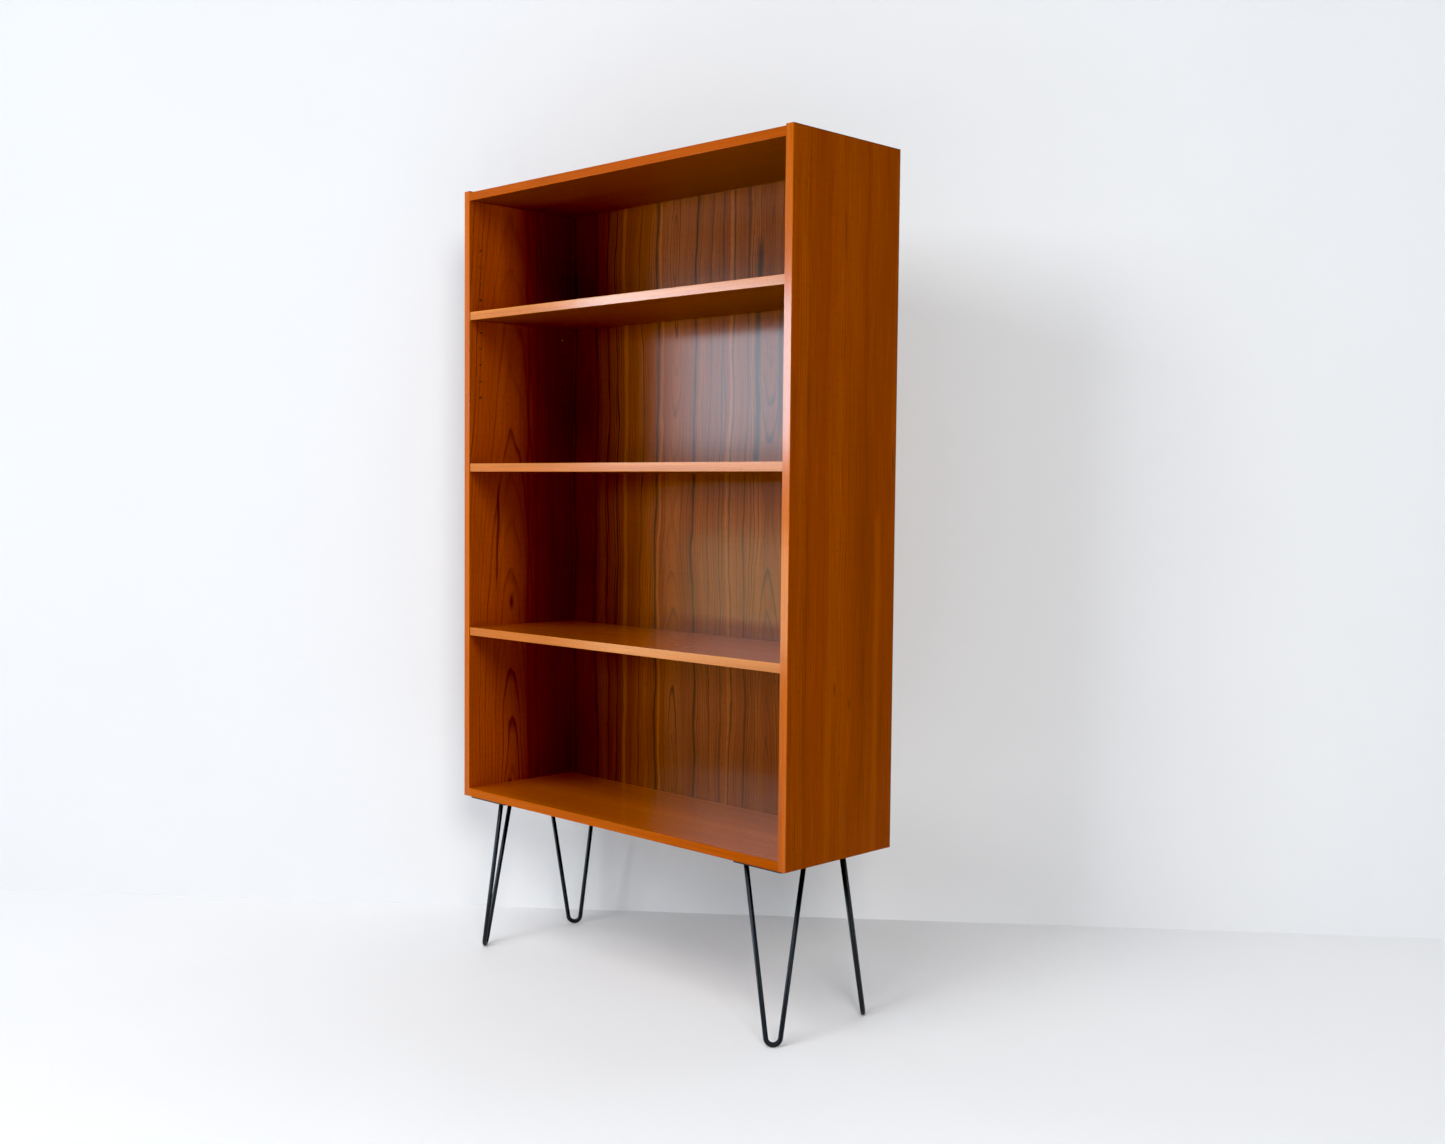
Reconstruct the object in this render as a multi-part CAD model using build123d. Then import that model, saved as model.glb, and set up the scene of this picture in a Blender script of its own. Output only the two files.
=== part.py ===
from build123d import *
import os
from math import acos, atan2, cos, hypot, sin

# A teak-veneered bookcase on four hairpin legs.
# Millimetres. Origin on the floor under the middle of the carcass, front towards -Y, +Z up.

# Carcass
WIDTH = 870.0
DEPTH = 270.0
SIDE_HEIGHT = 1195.0
LEG_HEIGHT = 302.0
BOARD = 16.0  # thickness of every board
TOP_DROP = 3.0  # the top panel lies this far below the ends of the sides
EDGING = 2.0  # solid lipping on the front of every board
EASE = 0.5  # radius of the sanded arrises

# Back panel, let into rabbets
BACK_THICK = 6.0
RABBET_DEPTH = 7.0
RABBET_WIDTH = 8.0
NAIL_DIAMETER = 1.6
NAIL_HEAD = 3.2
NAIL_HEAD_THICK = 0.8
NAIL_LENGTH = 20.0
NAIL_EDGE = 4.0  # from the back panel's edge to a nail
NAILS_UP = 9
NAILS_ACROSS = 6

# Glued dowels between the sides and the top and bottom panels
DOWEL_DIAMETER = 8.0
DOWEL_IN_SIDE = 11.0
DOWEL_IN_PANEL = 20.0
DOWEL_ROOM = 0.8  # glue space at each end of a dowel
DOWEL_FROM_FRONT = (40.0, 103.0, 167.0, 230.0)

# Shelves: the height of each underside above the carcass underside
SHELF_UNDERSIDES = {"upper": 944.0, "middle": 647.0, "lower": 322.5}
SHELF_RECESS = 1.5
SHELF_END_GAP = 1.0
SHELF_BACK_GAP = 1.0

# Hidden shelf pins, in blind holes on a 32 mm pitch
HOLE_PITCH = 32.0
HOLES_BELOW = {"upper": 5, "middle": 0, "lower": 0}
HOLES_ABOVE = {"upper": 4, "middle": 0, "lower": 0}
HOLE_DIAMETER = 5.0
HOLE_DEPTH = 10.0
PIN_DIAMETER = 4.9
PIN_IN_SIDE = 9.0
PIN_PROUD = 9.0
PIN_ABOVE_UNDERSIDE = 9.5
FRONT_PIN_FROM_FRONT = 27.0
REAR_PIN_FROM_FRONT = 235.0
GROOVE_DEPTH = 9.0
GROOVE_HEIGHT = 5.2
GROOVE_PLAY_ABOVE_PIN = 0.05
GROOVE_PLAY_BEFORE_PIN = 0.1

# Hairpin legs, measured inwards from the outer corner of each leg's plate
ROD_DIAMETER = 8.5
FOOT_BEND_RADIUS = 12.5
INNER_ROD_TOP = (90.0, 10.0)
OUTER_ROD_TOP = (26.0, 85.0)
FOOT = (29.0, 16.0)
PLATE_THICK = 4.0
PLATE_LONG = 114.0
PLATE_WIDE = 97.0
PLATE_LONG_END = 22.0
PLATE_WIDE_END = 42.0
PLATE_CORNER = 7.0
PLATE_FROM_SIDE = 12.0
PLATE_FROM_FRONT = 5.5
PLATE_FROM_REAR = 0.5
PLATE_HOLE = 4.6
SCREW_PLACES = ((16.0, 14.0), (58.0, 12.0), (14.0, 56.0), (54.0, 46.0))
SCREW_SHANK = 3.8
SCREW_REACH = 11.0  # into the bottom panel
SCREW_HEAD = 8.0
SCREW_HEAD_HIGH = 2.4
SLOT_WIDTH = 1.0
SLOT_DEPTH = 1.1

# Places worked out from the sizes above
LEFT = -WIDTH / 2
RIGHT = WIDTH / 2
FRONT = -DEPTH / 2
REAR = DEPTH / 2
BASE = LEG_HEIGHT
INNER_LEFT = LEFT + BOARD
INNER_RIGHT = RIGHT - BOARD
BACK_FRONT = REAR - RABBET_DEPTH
BACK_REAR = BACK_FRONT + BACK_THICK
BOARD_FRONT = FRONT + EDGING
TOP_UPPER = BASE + SIDE_HEIGHT - TOP_DROP
TOP_LOWER = TOP_UPPER - BOARD
BOTTOM_UPPER = BASE + BOARD
PIN_COLUMNS = (FRONT + FRONT_PIN_FROM_FRONT, FRONT + REAR_PIN_FROM_FRONT)
BACK_LOW = BOTTOM_UPPER - RABBET_WIDTH
BACK_HIGH = TOP_LOWER + RABBET_WIDTH


def block(x, y, z):
    """A box between the low and high value given for each axis."""
    middle = [(low + high) / 2 for low, high in (x, y, z)]
    size = [high - low for low, high in (x, y, z)]
    return Pos(*middle) * Box(*size)


def rod_along_x(start, end, y, z, diameter):
    """A round bar along X."""
    bar = Cylinder(diameter / 2, abs(end - start), rotation=(0, 90, 0))
    return Pos((start + end) / 2, y, z) * bar


def eased_front(piece, along):
    """The piece with its long front arrises rounded over."""
    arrises = piece.edges().filter_by(along).group_by(Axis.Y)[0]
    return fillet(arrises, EASE)


def group(solids):
    """Separate solids that share one node."""
    return Compound(children=list(solids))


def dowels(z):
    """The dowels at both ends of a horizontal panel whose middle is at z."""
    bars = []
    for inner, outward in ((INNER_LEFT, -1), (INNER_RIGHT, 1)):
        for from_front in DOWEL_FROM_FRONT:
            start = inner + outward * (DOWEL_IN_SIDE - DOWEL_ROOM)
            end = inner - outward * (DOWEL_IN_PANEL - DOWEL_ROOM)
            bars.append(rod_along_x(start, end, FRONT + from_front, z, DOWEL_DIAMETER))
    return bars


def dowel_holes(z):
    """The blind holes for those dowels, a little deeper than the dowels are long."""
    bars = []
    for inner, outward in ((INNER_LEFT, -1), (INNER_RIGHT, 1)):
        for from_front in DOWEL_FROM_FRONT:
            start = inner + outward * DOWEL_IN_SIDE
            end = inner - outward * DOWEL_IN_PANEL
            bars.append(rod_along_x(start, end, FRONT + from_front, z, DOWEL_DIAMETER))
    return bars


def hole_heights(shelf):
    """The heights of the pin holes that serve one shelf."""
    own = BASE + SHELF_UNDERSIDES[shelf] + PIN_ABOVE_UNDERSIDE
    steps = range(-HOLES_BELOW[shelf], HOLES_ABOVE[shelf] + 1)
    return [own + step * HOLE_PITCH for step in steps]


def side_board(inner, outward):
    """One side: a full-height board with a rabbet at the back and blind holes inside."""
    outer = inner + outward * BOARD
    x = sorted((inner, outer))
    board = block(x, (BOARD_FRONT, REAR), (BASE, BASE + SIDE_HEIGHT))
    rabbet_x = sorted((inner, inner + outward * RABBET_WIDTH))
    board -= block(rabbet_x, (BACK_FRONT, REAR), (BACK_LOW, BACK_HIGH))
    for z in (BASE + BOARD / 2, TOP_LOWER + BOARD / 2):
        board -= dowel_holes(z)
    bottom_of_hole = inner + outward * HOLE_DEPTH
    for shelf in SHELF_UNDERSIDES:
        for z in hole_heights(shelf):
            for y in PIN_COLUMNS:
                board -= rod_along_x(inner, bottom_of_hole, y, z, HOLE_DIAMETER)
    return board


def side_edging(inner, outward):
    """The upright lipping on the front of a side."""
    x = sorted((inner, inner + outward * BOARD))
    strip = block(x, (FRONT, BOARD_FRONT), (BASE, BASE + SIDE_HEIGHT))
    return eased_front(strip, Axis.Z)


def level_board(low):
    """The top or bottom panel, rabbeted along the inside of its rear edge."""
    high = low + BOARD
    board = block((INNER_LEFT, INNER_RIGHT), (BOARD_FRONT, REAR), (low, high))
    board -= block((INNER_LEFT, INNER_RIGHT), (BACK_FRONT, REAR), (BACK_LOW, BACK_HIGH))
    return board - dowel_holes(low + BOARD / 2)


def level_edging(low):
    """The lipping on the front of the top or bottom panel."""
    strip = block((INNER_LEFT, INNER_RIGHT), (FRONT, BOARD_FRONT), (low, low + BOARD))
    return eased_front(strip, Axis.X)


def back_panel():
    """The plywood back in its rabbets."""
    x = (LEFT + BOARD - RABBET_WIDTH, RIGHT - BOARD + RABBET_WIDTH)
    return block(x, (BACK_FRONT, BACK_REAR), (BACK_LOW, BACK_HIGH))


def evenly(low, high, count):
    """Evenly spaced values, both ends included."""
    return [low + (high - low) * n / (count - 1) for n in range(count)]


def back_nails():
    """The nails round the back panel, driven forwards with their heads on its face."""
    left = LEFT + BOARD - RABBET_WIDTH + NAIL_EDGE
    right = RIGHT - BOARD + RABBET_WIDTH - NAIL_EDGE
    low = BACK_LOW + NAIL_EDGE
    high = BACK_HIGH - NAIL_EDGE
    places = [(x, z) for x in (left, right) for z in evenly(low, high, NAILS_UP)]
    places += [(x, z) for z in (low, high) for x in evenly(left, right, NAILS_ACROSS)[1:-1]]
    nails = []
    for x, z in places:
        shank = Cylinder(NAIL_DIAMETER / 2, NAIL_LENGTH, rotation=(90, 0, 0))
        head = Cylinder(NAIL_HEAD / 2, NAIL_HEAD_THICK, rotation=(90, 0, 0))
        nail = Pos(x, BACK_REAR - NAIL_LENGTH / 2, z) * shank
        nail += Pos(x, BACK_REAR + NAIL_HEAD_THICK / 2, z) * head
        nails.append(nail)
    return nails


def shelf_board(shelf):
    """A loose shelf: end grooves, blind at the front and open at the back, hide its pins."""
    low = BASE + SHELF_UNDERSIDES[shelf]
    left = INNER_LEFT + SHELF_END_GAP
    right = INNER_RIGHT - SHELF_END_GAP
    front = FRONT + SHELF_RECESS + EDGING
    rear = BACK_FRONT - SHELF_BACK_GAP
    board = block((left, right), (front, rear), (low, low + BOARD))
    ceiling = low + PIN_ABOVE_UNDERSIDE + PIN_DIAMETER / 2 + GROOVE_PLAY_ABOVE_PIN
    blind_end = PIN_COLUMNS[0] - PIN_DIAMETER / 2 - GROOVE_PLAY_BEFORE_PIN
    for x in ((left, left + GROOVE_DEPTH), (right - GROOVE_DEPTH, right)):
        board -= block(x, (blind_end, rear), (ceiling - GROOVE_HEIGHT, ceiling))
    return board


def shelf_edging(shelf):
    """The lipping on the front of a shelf."""
    low = BASE + SHELF_UNDERSIDES[shelf]
    x = (INNER_LEFT + SHELF_END_GAP, INNER_RIGHT - SHELF_END_GAP)
    front = FRONT + SHELF_RECESS
    strip = block(x, (front, front + EDGING), (low, low + BOARD))
    return eased_front(strip, Axis.X)


def shelf_pins(shelf):
    """The four steel pins that carry one shelf."""
    z = BASE + SHELF_UNDERSIDES[shelf] + PIN_ABOVE_UNDERSIDE
    pins = []
    for inner, outward in ((INNER_LEFT, -1), (INNER_RIGHT, 1)):
        start = inner + outward * PIN_IN_SIDE
        end = inner - outward * PIN_PROUD
        for y in PIN_COLUMNS:
            pins.append(rod_along_x(start, end, y, z, PIN_DIAMETER))
    return pins


def tangent_point(start, centre, radius, turn):
    """Where a straight line from start touches a circle, on the side that turn (+1 or -1) picks."""
    across = start[0] - centre[0]
    up = start[1] - centre[1]
    angle = atan2(up, across) + turn * acos(radius / hypot(across, up))
    return (centre[0] + radius * cos(angle), centre[1] + radius * sin(angle))


def leg_rod():
    """The bent rod of the front left leg, seen from its plate's outer corner."""
    inner = Vector(*INNER_ROD_TOP, 0)
    outer = Vector(*OUTER_ROD_TOP, 0)
    foot = Vector(*FOOT, ROD_DIAMETER / 2 - LEG_HEIGHT)
    middle = (inner + outer) / 2
    across = (outer - inner).normalized()
    half = (outer - inner).length / 2
    shift = (foot - middle).dot(across)
    down = foot - middle - across * shift
    plane = Plane(origin=middle, x_dir=across, z_dir=across.cross(-down))
    centre = (shift, FOOT_BEND_RADIUS - down.length)
    touch_inner = tangent_point((-half, 0), centre, FOOT_BEND_RADIUS, 1)
    touch_outer = tangent_point((half, 0), centre, FOOT_BEND_RADIUS, -1)
    path = Wire(
        [
            Edge.make_line((-half, 0), touch_inner),
            Edge.make_three_point_arc(touch_inner, (shift, -down.length), touch_outer),
            Edge.make_line(touch_outer, (half, 0)),
        ]
    )
    path = plane.from_local_coords(path)
    rod = sweep(Plane(origin=path @ 0, z_dir=path % 0) * Circle(ROD_DIAMETER / 2), path)
    return rod - block((0, PLATE_LONG), (0, PLATE_LONG), (-PLATE_THICK, PLATE_LONG))


def leg_plate():
    """The flat plate of the front left leg: a square corner with its inner corner cut off."""
    outline = Polyline(
        (0, 0),
        (PLATE_LONG, 0),
        (PLATE_LONG, PLATE_LONG_END),
        (PLATE_WIDE_END, PLATE_WIDE),
        (0, PLATE_WIDE),
        close=True,
    )
    face = make_face(outline)
    face = fillet(face.vertices(), PLATE_CORNER)
    plate = extrude(face, -PLATE_THICK, dir=(0, 0, 1))
    for x, y in SCREW_PLACES:
        plate -= Pos(x, y, -PLATE_THICK / 2) * Cylinder(PLATE_HOLE / 2, 2 * PLATE_THICK)
    return plate


def leg_screw(x, y):
    """A slotted round-head wood screw, driven up through the plate."""
    crown = (SCREW_HEAD**2 / 4 + SCREW_HEAD_HIGH**2) / (2 * SCREW_HEAD_HIGH)
    ball = Pos(0, 0, -PLATE_THICK - SCREW_HEAD_HIGH + crown) * Sphere(crown)
    under = block((-crown, crown), (-crown, crown), (-PLATE_THICK, 2 * crown))
    head = ball - under
    slot_floor = -PLATE_THICK - SCREW_HEAD_HIGH + SLOT_DEPTH
    half_slot = SLOT_WIDTH / 2
    head -= block((-crown, crown), (-half_slot, half_slot), (-2 * crown, slot_floor))
    straight = SCREW_REACH - SCREW_SHANK
    shank = block_up(SCREW_SHANK / 2, -PLATE_THICK, straight)
    point = Pos(0, 0, (straight + SCREW_REACH) / 2) * Cone(SCREW_SHANK / 2, 0.2, SCREW_SHANK)
    return Pos(x, y, 0) * (head + shank + point)


def block_up(radius, low, high):
    """An upright cylinder between two heights."""
    return Pos(0, 0, (low + high) / 2) * Cylinder(radius, high - low)


def at_corner(piece, to_right, to_rear):
    """The front left leg's piece, moved or mirrored to one corner of the carcass."""
    inset = PLATE_FROM_REAR if to_rear else PLATE_FROM_FRONT
    placed = Pos(LEFT + PLATE_FROM_SIDE, FRONT + inset, BASE) * piece
    if to_right:
        placed = mirror(placed, about=Plane.YZ)
    if to_rear:
        placed = mirror(placed, about=Plane.XZ)
    return placed


nodes = {
    "side_left": side_board(INNER_LEFT, -1),
    "side_right": side_board(INNER_RIGHT, 1),
    "side_left_edging": side_edging(INNER_LEFT, -1),
    "side_right_edging": side_edging(INNER_RIGHT, 1),
    "top_panel": level_board(TOP_LOWER),
    "top_panel_edging": level_edging(TOP_LOWER),
    "bottom_panel": level_board(BASE),
    "bottom_panel_edging": level_edging(BASE),
    "top_dowels": group(dowels(TOP_LOWER + BOARD / 2)),
    "bottom_dowels": group(dowels(BASE + BOARD / 2)),
    "back_panel": back_panel(),
    "back_panel_nails": group(back_nails()),
}
for shelf in SHELF_UNDERSIDES:
    nodes[f"{shelf}_shelf_board"] = shelf_board(shelf)
    nodes[f"{shelf}_shelf_edging"] = shelf_edging(shelf)
    nodes[f"{shelf}_shelf_pins"] = group(shelf_pins(shelf))

rod = leg_rod()
plate = leg_plate()
screws = [leg_screw(x, y) for x, y in SCREW_PLACES]
for depth_name, to_rear in (("front", False), ("rear", True)):
    for side_name, to_right in (("left", False), ("right", True)):
        leg = f"leg_{depth_name}_{side_name}"
        nodes[f"{leg}_rod"] = at_corner(rod, to_right, to_rear)
        nodes[f"{leg}_plate"] = at_corner(plate, to_right, to_rear)
        nodes[f"{leg}_screws"] = group(at_corner(s, to_right, to_rear) for s in screws)

os.makedirs("parts", exist_ok=True)
for name, shape in nodes.items():
    export_step(shape, f"parts/{name}.step")
    low, high = shape.bounding_box().min, shape.bounding_box().max
    print(f"{name}: {len(shape.solids())} solids, z {low.Z:.1f} to {high.Z:.1f}")
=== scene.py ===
"""A teak bookcase on hairpin legs: veneers, steel, fine hardware, studio and camera.

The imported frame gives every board, rod and fastener its place and its motion. Here the boards get
their veneer, the bent rods and the small hardware are made as fine meshes, and a plain studio
lights them.
"""

import logging
import math
from dataclasses import dataclass, field, replace
from enum import Enum
from typing import Iterable, Optional, Sequence, Union

import bmesh
import bpy
from mathutils import Matrix, Vector


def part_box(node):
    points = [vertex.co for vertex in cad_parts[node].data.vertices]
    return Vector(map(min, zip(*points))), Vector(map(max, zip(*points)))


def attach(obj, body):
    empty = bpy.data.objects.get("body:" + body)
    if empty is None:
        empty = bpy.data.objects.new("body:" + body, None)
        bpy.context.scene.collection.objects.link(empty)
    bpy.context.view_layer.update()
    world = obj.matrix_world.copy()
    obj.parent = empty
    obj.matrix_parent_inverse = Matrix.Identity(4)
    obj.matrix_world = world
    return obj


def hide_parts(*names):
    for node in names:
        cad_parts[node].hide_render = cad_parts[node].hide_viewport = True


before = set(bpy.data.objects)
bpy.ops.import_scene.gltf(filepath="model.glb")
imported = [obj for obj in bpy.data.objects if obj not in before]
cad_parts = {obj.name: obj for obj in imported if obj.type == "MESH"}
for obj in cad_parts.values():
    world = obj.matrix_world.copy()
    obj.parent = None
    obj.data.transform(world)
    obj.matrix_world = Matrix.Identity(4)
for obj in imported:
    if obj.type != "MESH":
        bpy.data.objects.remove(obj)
LOG = logging.getLogger("bookcase")
MM = 0.001
FAR = 9.0
EASED_ARRIS = 0.5 * MM

Colour = tuple[float, float, float, float]
Point = tuple[float, float, float]
Operand = Union["Number", float]


def rgb(red: float, green: float, blue: float) -> Colour:
    """An opaque colour from three linear values."""
    return (red, green, blue, 1.0)


# ---------------------------------------------------------------------------------------------
# Node trees
# ---------------------------------------------------------------------------------------------


class Link:
    """An output socket that flows on through a node tree."""

    def __init__(self, tree: "Tree", socket: bpy.types.NodeSocket) -> None:
        """Keeps the socket and the tree that it belongs to.

        Args:
            tree: The tree that holds the socket.
            socket: The output socket.
        """
        self.tree = tree
        self.socket = socket


class Number(Link):
    """A number that flows through a tree: arithmetic on it adds Math nodes."""

    def _math(self, operation: str, first: Operand, second: Operand = 0.0) -> "Number":
        """Adds one Math node.

        Args:
            operation: The Math node's operation.
            first: Its first input.
            second: Its second input.

        Returns:
            The node's result.
        """
        made = self.tree.node("ShaderNodeMath", {"operation": operation}, {0: first, 1: second})
        return Number(self.tree, made.socket)

    def __add__(self, other: Operand) -> "Number":
        """This plus another."""
        return self._math("ADD", self, other)

    __radd__ = __add__

    def __sub__(self, other: Operand) -> "Number":
        """This less another."""
        return self._math("SUBTRACT", self, other)

    def __rsub__(self, other: Operand) -> "Number":
        """Another less this."""
        return self._math("SUBTRACT", other, self)

    def __mul__(self, other: Operand) -> "Number":
        """This times another."""
        return self._math("MULTIPLY", self, other)

    __rmul__ = __mul__

    def __truediv__(self, other: Operand) -> "Number":
        """This divided by another."""
        return self._math("DIVIDE", self, other)

    def __abs__(self) -> "Number":
        """This without its sign."""
        return self._math("ABSOLUTE", self)

    def whole(self) -> "Number":
        """The whole number at or below this."""
        return self._math("FLOOR", self)

    def root(self) -> "Number":
        """The square root of this."""
        return self._math("SQRT", self)

    def over(self, limit: Operand) -> "Number":
        """1 where this is greater than the limit, and 0 elsewhere."""
        return self._math("GREATER_THAN", self, limit)

    def most(self, other: Operand) -> "Number":
        """The greater of this and another."""
        return self._math("MAXIMUM", self, other)

    def ease(self, low: float, high: float) -> "Number":
        """A smooth step from 0 at low to 1 at high.

        Args:
            low: Where the step starts.
            high: Where it ends; less than low gives a falling step.

        Returns:
            The eased number.
        """
        start, end, to_start, to_end = (low, high, 0.0, 1.0) if low < high else (high, low, 1.0, 0.0)
        made = self.tree.node(
            "ShaderNodeMapRange",
            {"interpolation_type": "SMOOTHSTEP"},
            {0: self, 1: start, 2: end, 3: to_start, 4: to_end},
        )
        return Number(self.tree, made.socket)


class Tint(Link):
    """A colour that flows through a shader."""

    def towards(self, other: Union["Tint", Colour], share: Operand) -> "Tint":
        """This colour mixed with another.

        Args:
            other: The other colour.
            share: How much of the other, from 0 to 1.

        Returns:
            The mixed colour.
        """
        made = self.tree.node(
            "ShaderNodeMix",
            {"data_type": "RGBA", "clamp_factor": True},
            {0: share, 6: self, 7: other},
            output=2,
        )
        return Tint(self.tree, made.socket)

    def lit(self, share: Operand) -> "Tint":
        """This colour made lighter or darker by a factor."""
        made = self.tree.node(
            "ShaderNodeVectorMath", {"operation": "SCALE"}, {0: self, 3: share}
        )
        return Tint(self.tree, made.socket)


class Tree:
    """A node tree that is built one node at a time."""

    def __init__(self, tree: bpy.types.NodeTree) -> None:
        """Starts from an empty tree.

        Args:
            tree: The tree to fill.
        """
        self.tree = tree
        self.tree.nodes.clear()

    def node(
        self,
        kind: str,
        settings: Optional[dict] = None,
        inputs: Optional[dict] = None,
        output: Union[int, str] = 0,
    ) -> Link:
        """Adds a node of any type.

        Args:
            kind: The node's type.
            settings: Its own settings, which are set first.
            inputs: Values or links for its sockets, by name or place.
            output: The output that the caller wants.

        Returns:
            That output.
        """
        made = self.tree.nodes.new(kind)
        for name, value in (settings or {}).items():
            setattr(made, name, value)
        for name, value in (inputs or {}).items():
            if isinstance(value, Link):
                self.tree.links.new(value.socket, made.inputs[name])
            else:
                made.inputs[name].default_value = value
        return Link(self, made.outputs[output] if made.outputs else made.inputs[0])


@dataclass
class Surface:
    """What a finish hands to the shader: colour, roughness and relief."""

    colour: Tint
    roughness: Operand
    relief: Number
    relief_height: float
    metallic: Operand = 0.0
    coat: Operand = 0.0
    coat_roughness: float = 0.1
    specular: float = 0.5


class Material(Tree):
    """A procedural material on a piece's own Object coordinates."""

    def __init__(self, name: str) -> None:
        """Makes an empty material.

        Args:
            name: The material's name.
        """
        self.material = bpy.data.materials.new(name)
        self.material.use_nodes = True
        super().__init__(self.material.node_tree)
        self._place: Optional[dict[str, Number]] = None

    def place(self) -> dict[str, Number]:
        """The X, Y and Z of the point being shaded, in metres."""
        if self._place is None:
            point = self.node("ShaderNodeTexCoord", output="Object")
            made = self.node("ShaderNodeSeparateXYZ", inputs={0: point})
            outputs = made.socket.node.outputs
            self._place = {axis: Number(self, outputs[axis]) for axis in "XYZ"}
        return self._place

    def tint(self, colour: Colour) -> Tint:
        """A plain colour to mix from."""
        made = self.node("ShaderNodeRGB")
        made.socket.default_value = colour
        return Tint(self, made.socket)

    def vector(self, x: Operand, y: Operand, z: Operand) -> Link:
        """A vector from three numbers."""
        return self.node("ShaderNodeCombineXYZ", inputs={0: x, 1: y, 2: z})

    def noise(
        self,
        x: Operand,
        y: Operand,
        seed: Operand,
        detail: float = 2.0,
        roughness: float = 0.5,
    ) -> Number:
        """Smooth noise from 0 to 1.

        Args:
            x: The first coordinate, already in cells.
            y: The second coordinate, already in cells.
            seed: The third coordinate, which sets one pattern apart from another.
            detail: How many finer octaves are added.
            roughness: How strong those are.

        Returns:
            The noise.
        """
        made = self.node(
            "ShaderNodeTexNoise",
            {"noise_dimensions": "3D"},
            {"Vector": self.vector(x, y, seed), "Scale": 1.0, "Detail": detail, "Roughness": roughness},
        )
        return Number(self, made.socket)

    def chance(self, x: Operand, y: Operand) -> Number:
        """One random number from 0 to 1 for each pair of whole numbers."""
        made = self.node(
            "ShaderNodeTexWhiteNoise",
            {"noise_dimensions": "2D"},
            {"Vector": self.vector(x, y, 0.0)},
        )
        return Number(self, made.socket)

    def finish(self, surface: Surface) -> bpy.types.Material:
        """Joins a surface to the material's output.

        Args:
            surface: The surface to show.

        Returns:
            The finished material.
        """
        bump = self.node(
            "ShaderNodeBump",
            inputs={"Strength": 1.0, "Distance": surface.relief_height, "Height": surface.relief},
        )
        shader = self.node(
            "ShaderNodeBsdfPrincipled",
            inputs={
                "Base Color": surface.colour,
                "Roughness": surface.roughness,
                "Metallic": surface.metallic,
                "Specular IOR Level": surface.specular,
                "Coat Weight": surface.coat,
                "Coat Roughness": surface.coat_roughness,
                "Normal": bump,
            },
        )
        self.node("ShaderNodeOutputMaterial", inputs={"Surface": shader})
        return self.material


# ---------------------------------------------------------------------------------------------
# Wood
# ---------------------------------------------------------------------------------------------


class Grain(Enum):
    """How a board lies: the axes along its grain, across it and through its thickness."""

    SIDE = ("Z", "Y", "X")
    UPRIGHT = ("Z", "X", "Y")
    SHELF = ("X", "Y", "Z")
    RAIL = ("X", "Z", "Y")


@dataclass(frozen=True)
class Streak:
    """One dark or pale line that runs with the grain.

    Attributes:
        across: Its place across the grain, in metres.
        width: Its width in metres.
        strength: How far it goes towards its colour, from 0 to 1.
        pale: Whether it is a pale line.
        start: Where it starts along the grain, in metres.
        end: Where it ends along the grain, in metres.
    """

    across: float
    width: float
    strength: float
    pale: bool = False
    start: float = -FAR
    end: float = FAR


@dataclass(frozen=True)
class Knot:
    """A small knot, with the grain bent round it.

    Attributes:
        across: Its place across the grain, in metres.
        along: Its place along the grain, in metres.
        size: Its radius in metres.
        stretch: How much longer the bent grain is than it is wide.
    """

    across: float
    along: float
    size: float
    stretch: float = 4.0


@dataclass(frozen=True)
class Figure:
    """How a veneer was cut from the log: flat cut gives arches, quarter cut gives straight lines.

    Attributes:
        centre: The place across the grain of the middle of one leaf, in metres.
        leaf: The width of a leaf in metres.
        ring: The distance between growth rings in metres.
        depth: The distance from the middle of the log to the cut, in metres.
        taper: How fast that distance grows along the grain.
        waist: How fast it shrinks away from where the leaf is deepest, both ways.
        waist_at: Where along the grain the leaf is deepest, in metres.
        wander: How far the grain strays sideways over its length, in metres.
        wave: How far it ripples over a hand's width, in metres.
        streaks: Lines of their own.
        knots: Knots of their own.
    """

    centre: float
    leaf: float
    ring: float
    depth: float
    taper: float = 0.0
    waist: float = 0.0
    waist_at: float = 0.0
    wander: float = 0.012
    wave: float = 5.0 * MM
    streaks: tuple[Streak, ...] = ()
    knots: tuple[Knot, ...] = ()


@dataclass(frozen=True)
class Teak:
    """A lacquered teak veneer or lipping.

    Attributes:
        body: The main colour.
        pale: The colour of its lighter bands.
        dark: The colour of its late wood and mineral lines.
        rings: How strongly the growth rings show.
        bands: How strongly the broad bands show.
        fibres: How strongly the fine fibres show.
        lines: How many fine dark lines there are, from 0 to 1.
        roughness: The roughness of the wood under its lacquer.
        coat: The weight of the lacquer.
        coat_roughness: The roughness of the lacquer.
        specular: How much light the wood under the lacquer reflects.
        sheen_of_fibres: How much the fibres glint in their own colour.
    """

    body: Colour
    pale: Colour
    dark: Colour
    specular: float = 0.35
    sheen_of_fibres: float = 0.04
    rings: float = 0.55
    bands: float = 0.7
    fibres: float = 0.3
    lines: float = 0.5
    roughness: float = 0.42
    coat: float = 0.35
    coat_roughness: float = 0.2


@dataclass(frozen=True)
class Chipboard:
    """The pressed core that shows at a board's raw edges and in its holes."""

    body: Colour = rgb(0.30, 0.17, 0.08)
    pale: Colour = rgb(0.46, 0.30, 0.16)
    dark: Colour = rgb(0.12, 0.055, 0.022)
    flake: float = 2.2 * MM
    roughness: float = 0.8


@dataclass(frozen=True)
class Pattern:
    """One of a veneer's patterns of soft noise.

    Attributes:
        across: How many cells it has in a metre across the grain.
        along: How many it has in a metre along the grain.
        seed: What sets it apart from the board's other patterns.
        detail: How many finer octaves are added.
        roughness: How strong those are.
    """

    across: float
    along: float
    seed: float
    detail: float = 2.0
    roughness: float = 0.5


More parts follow.
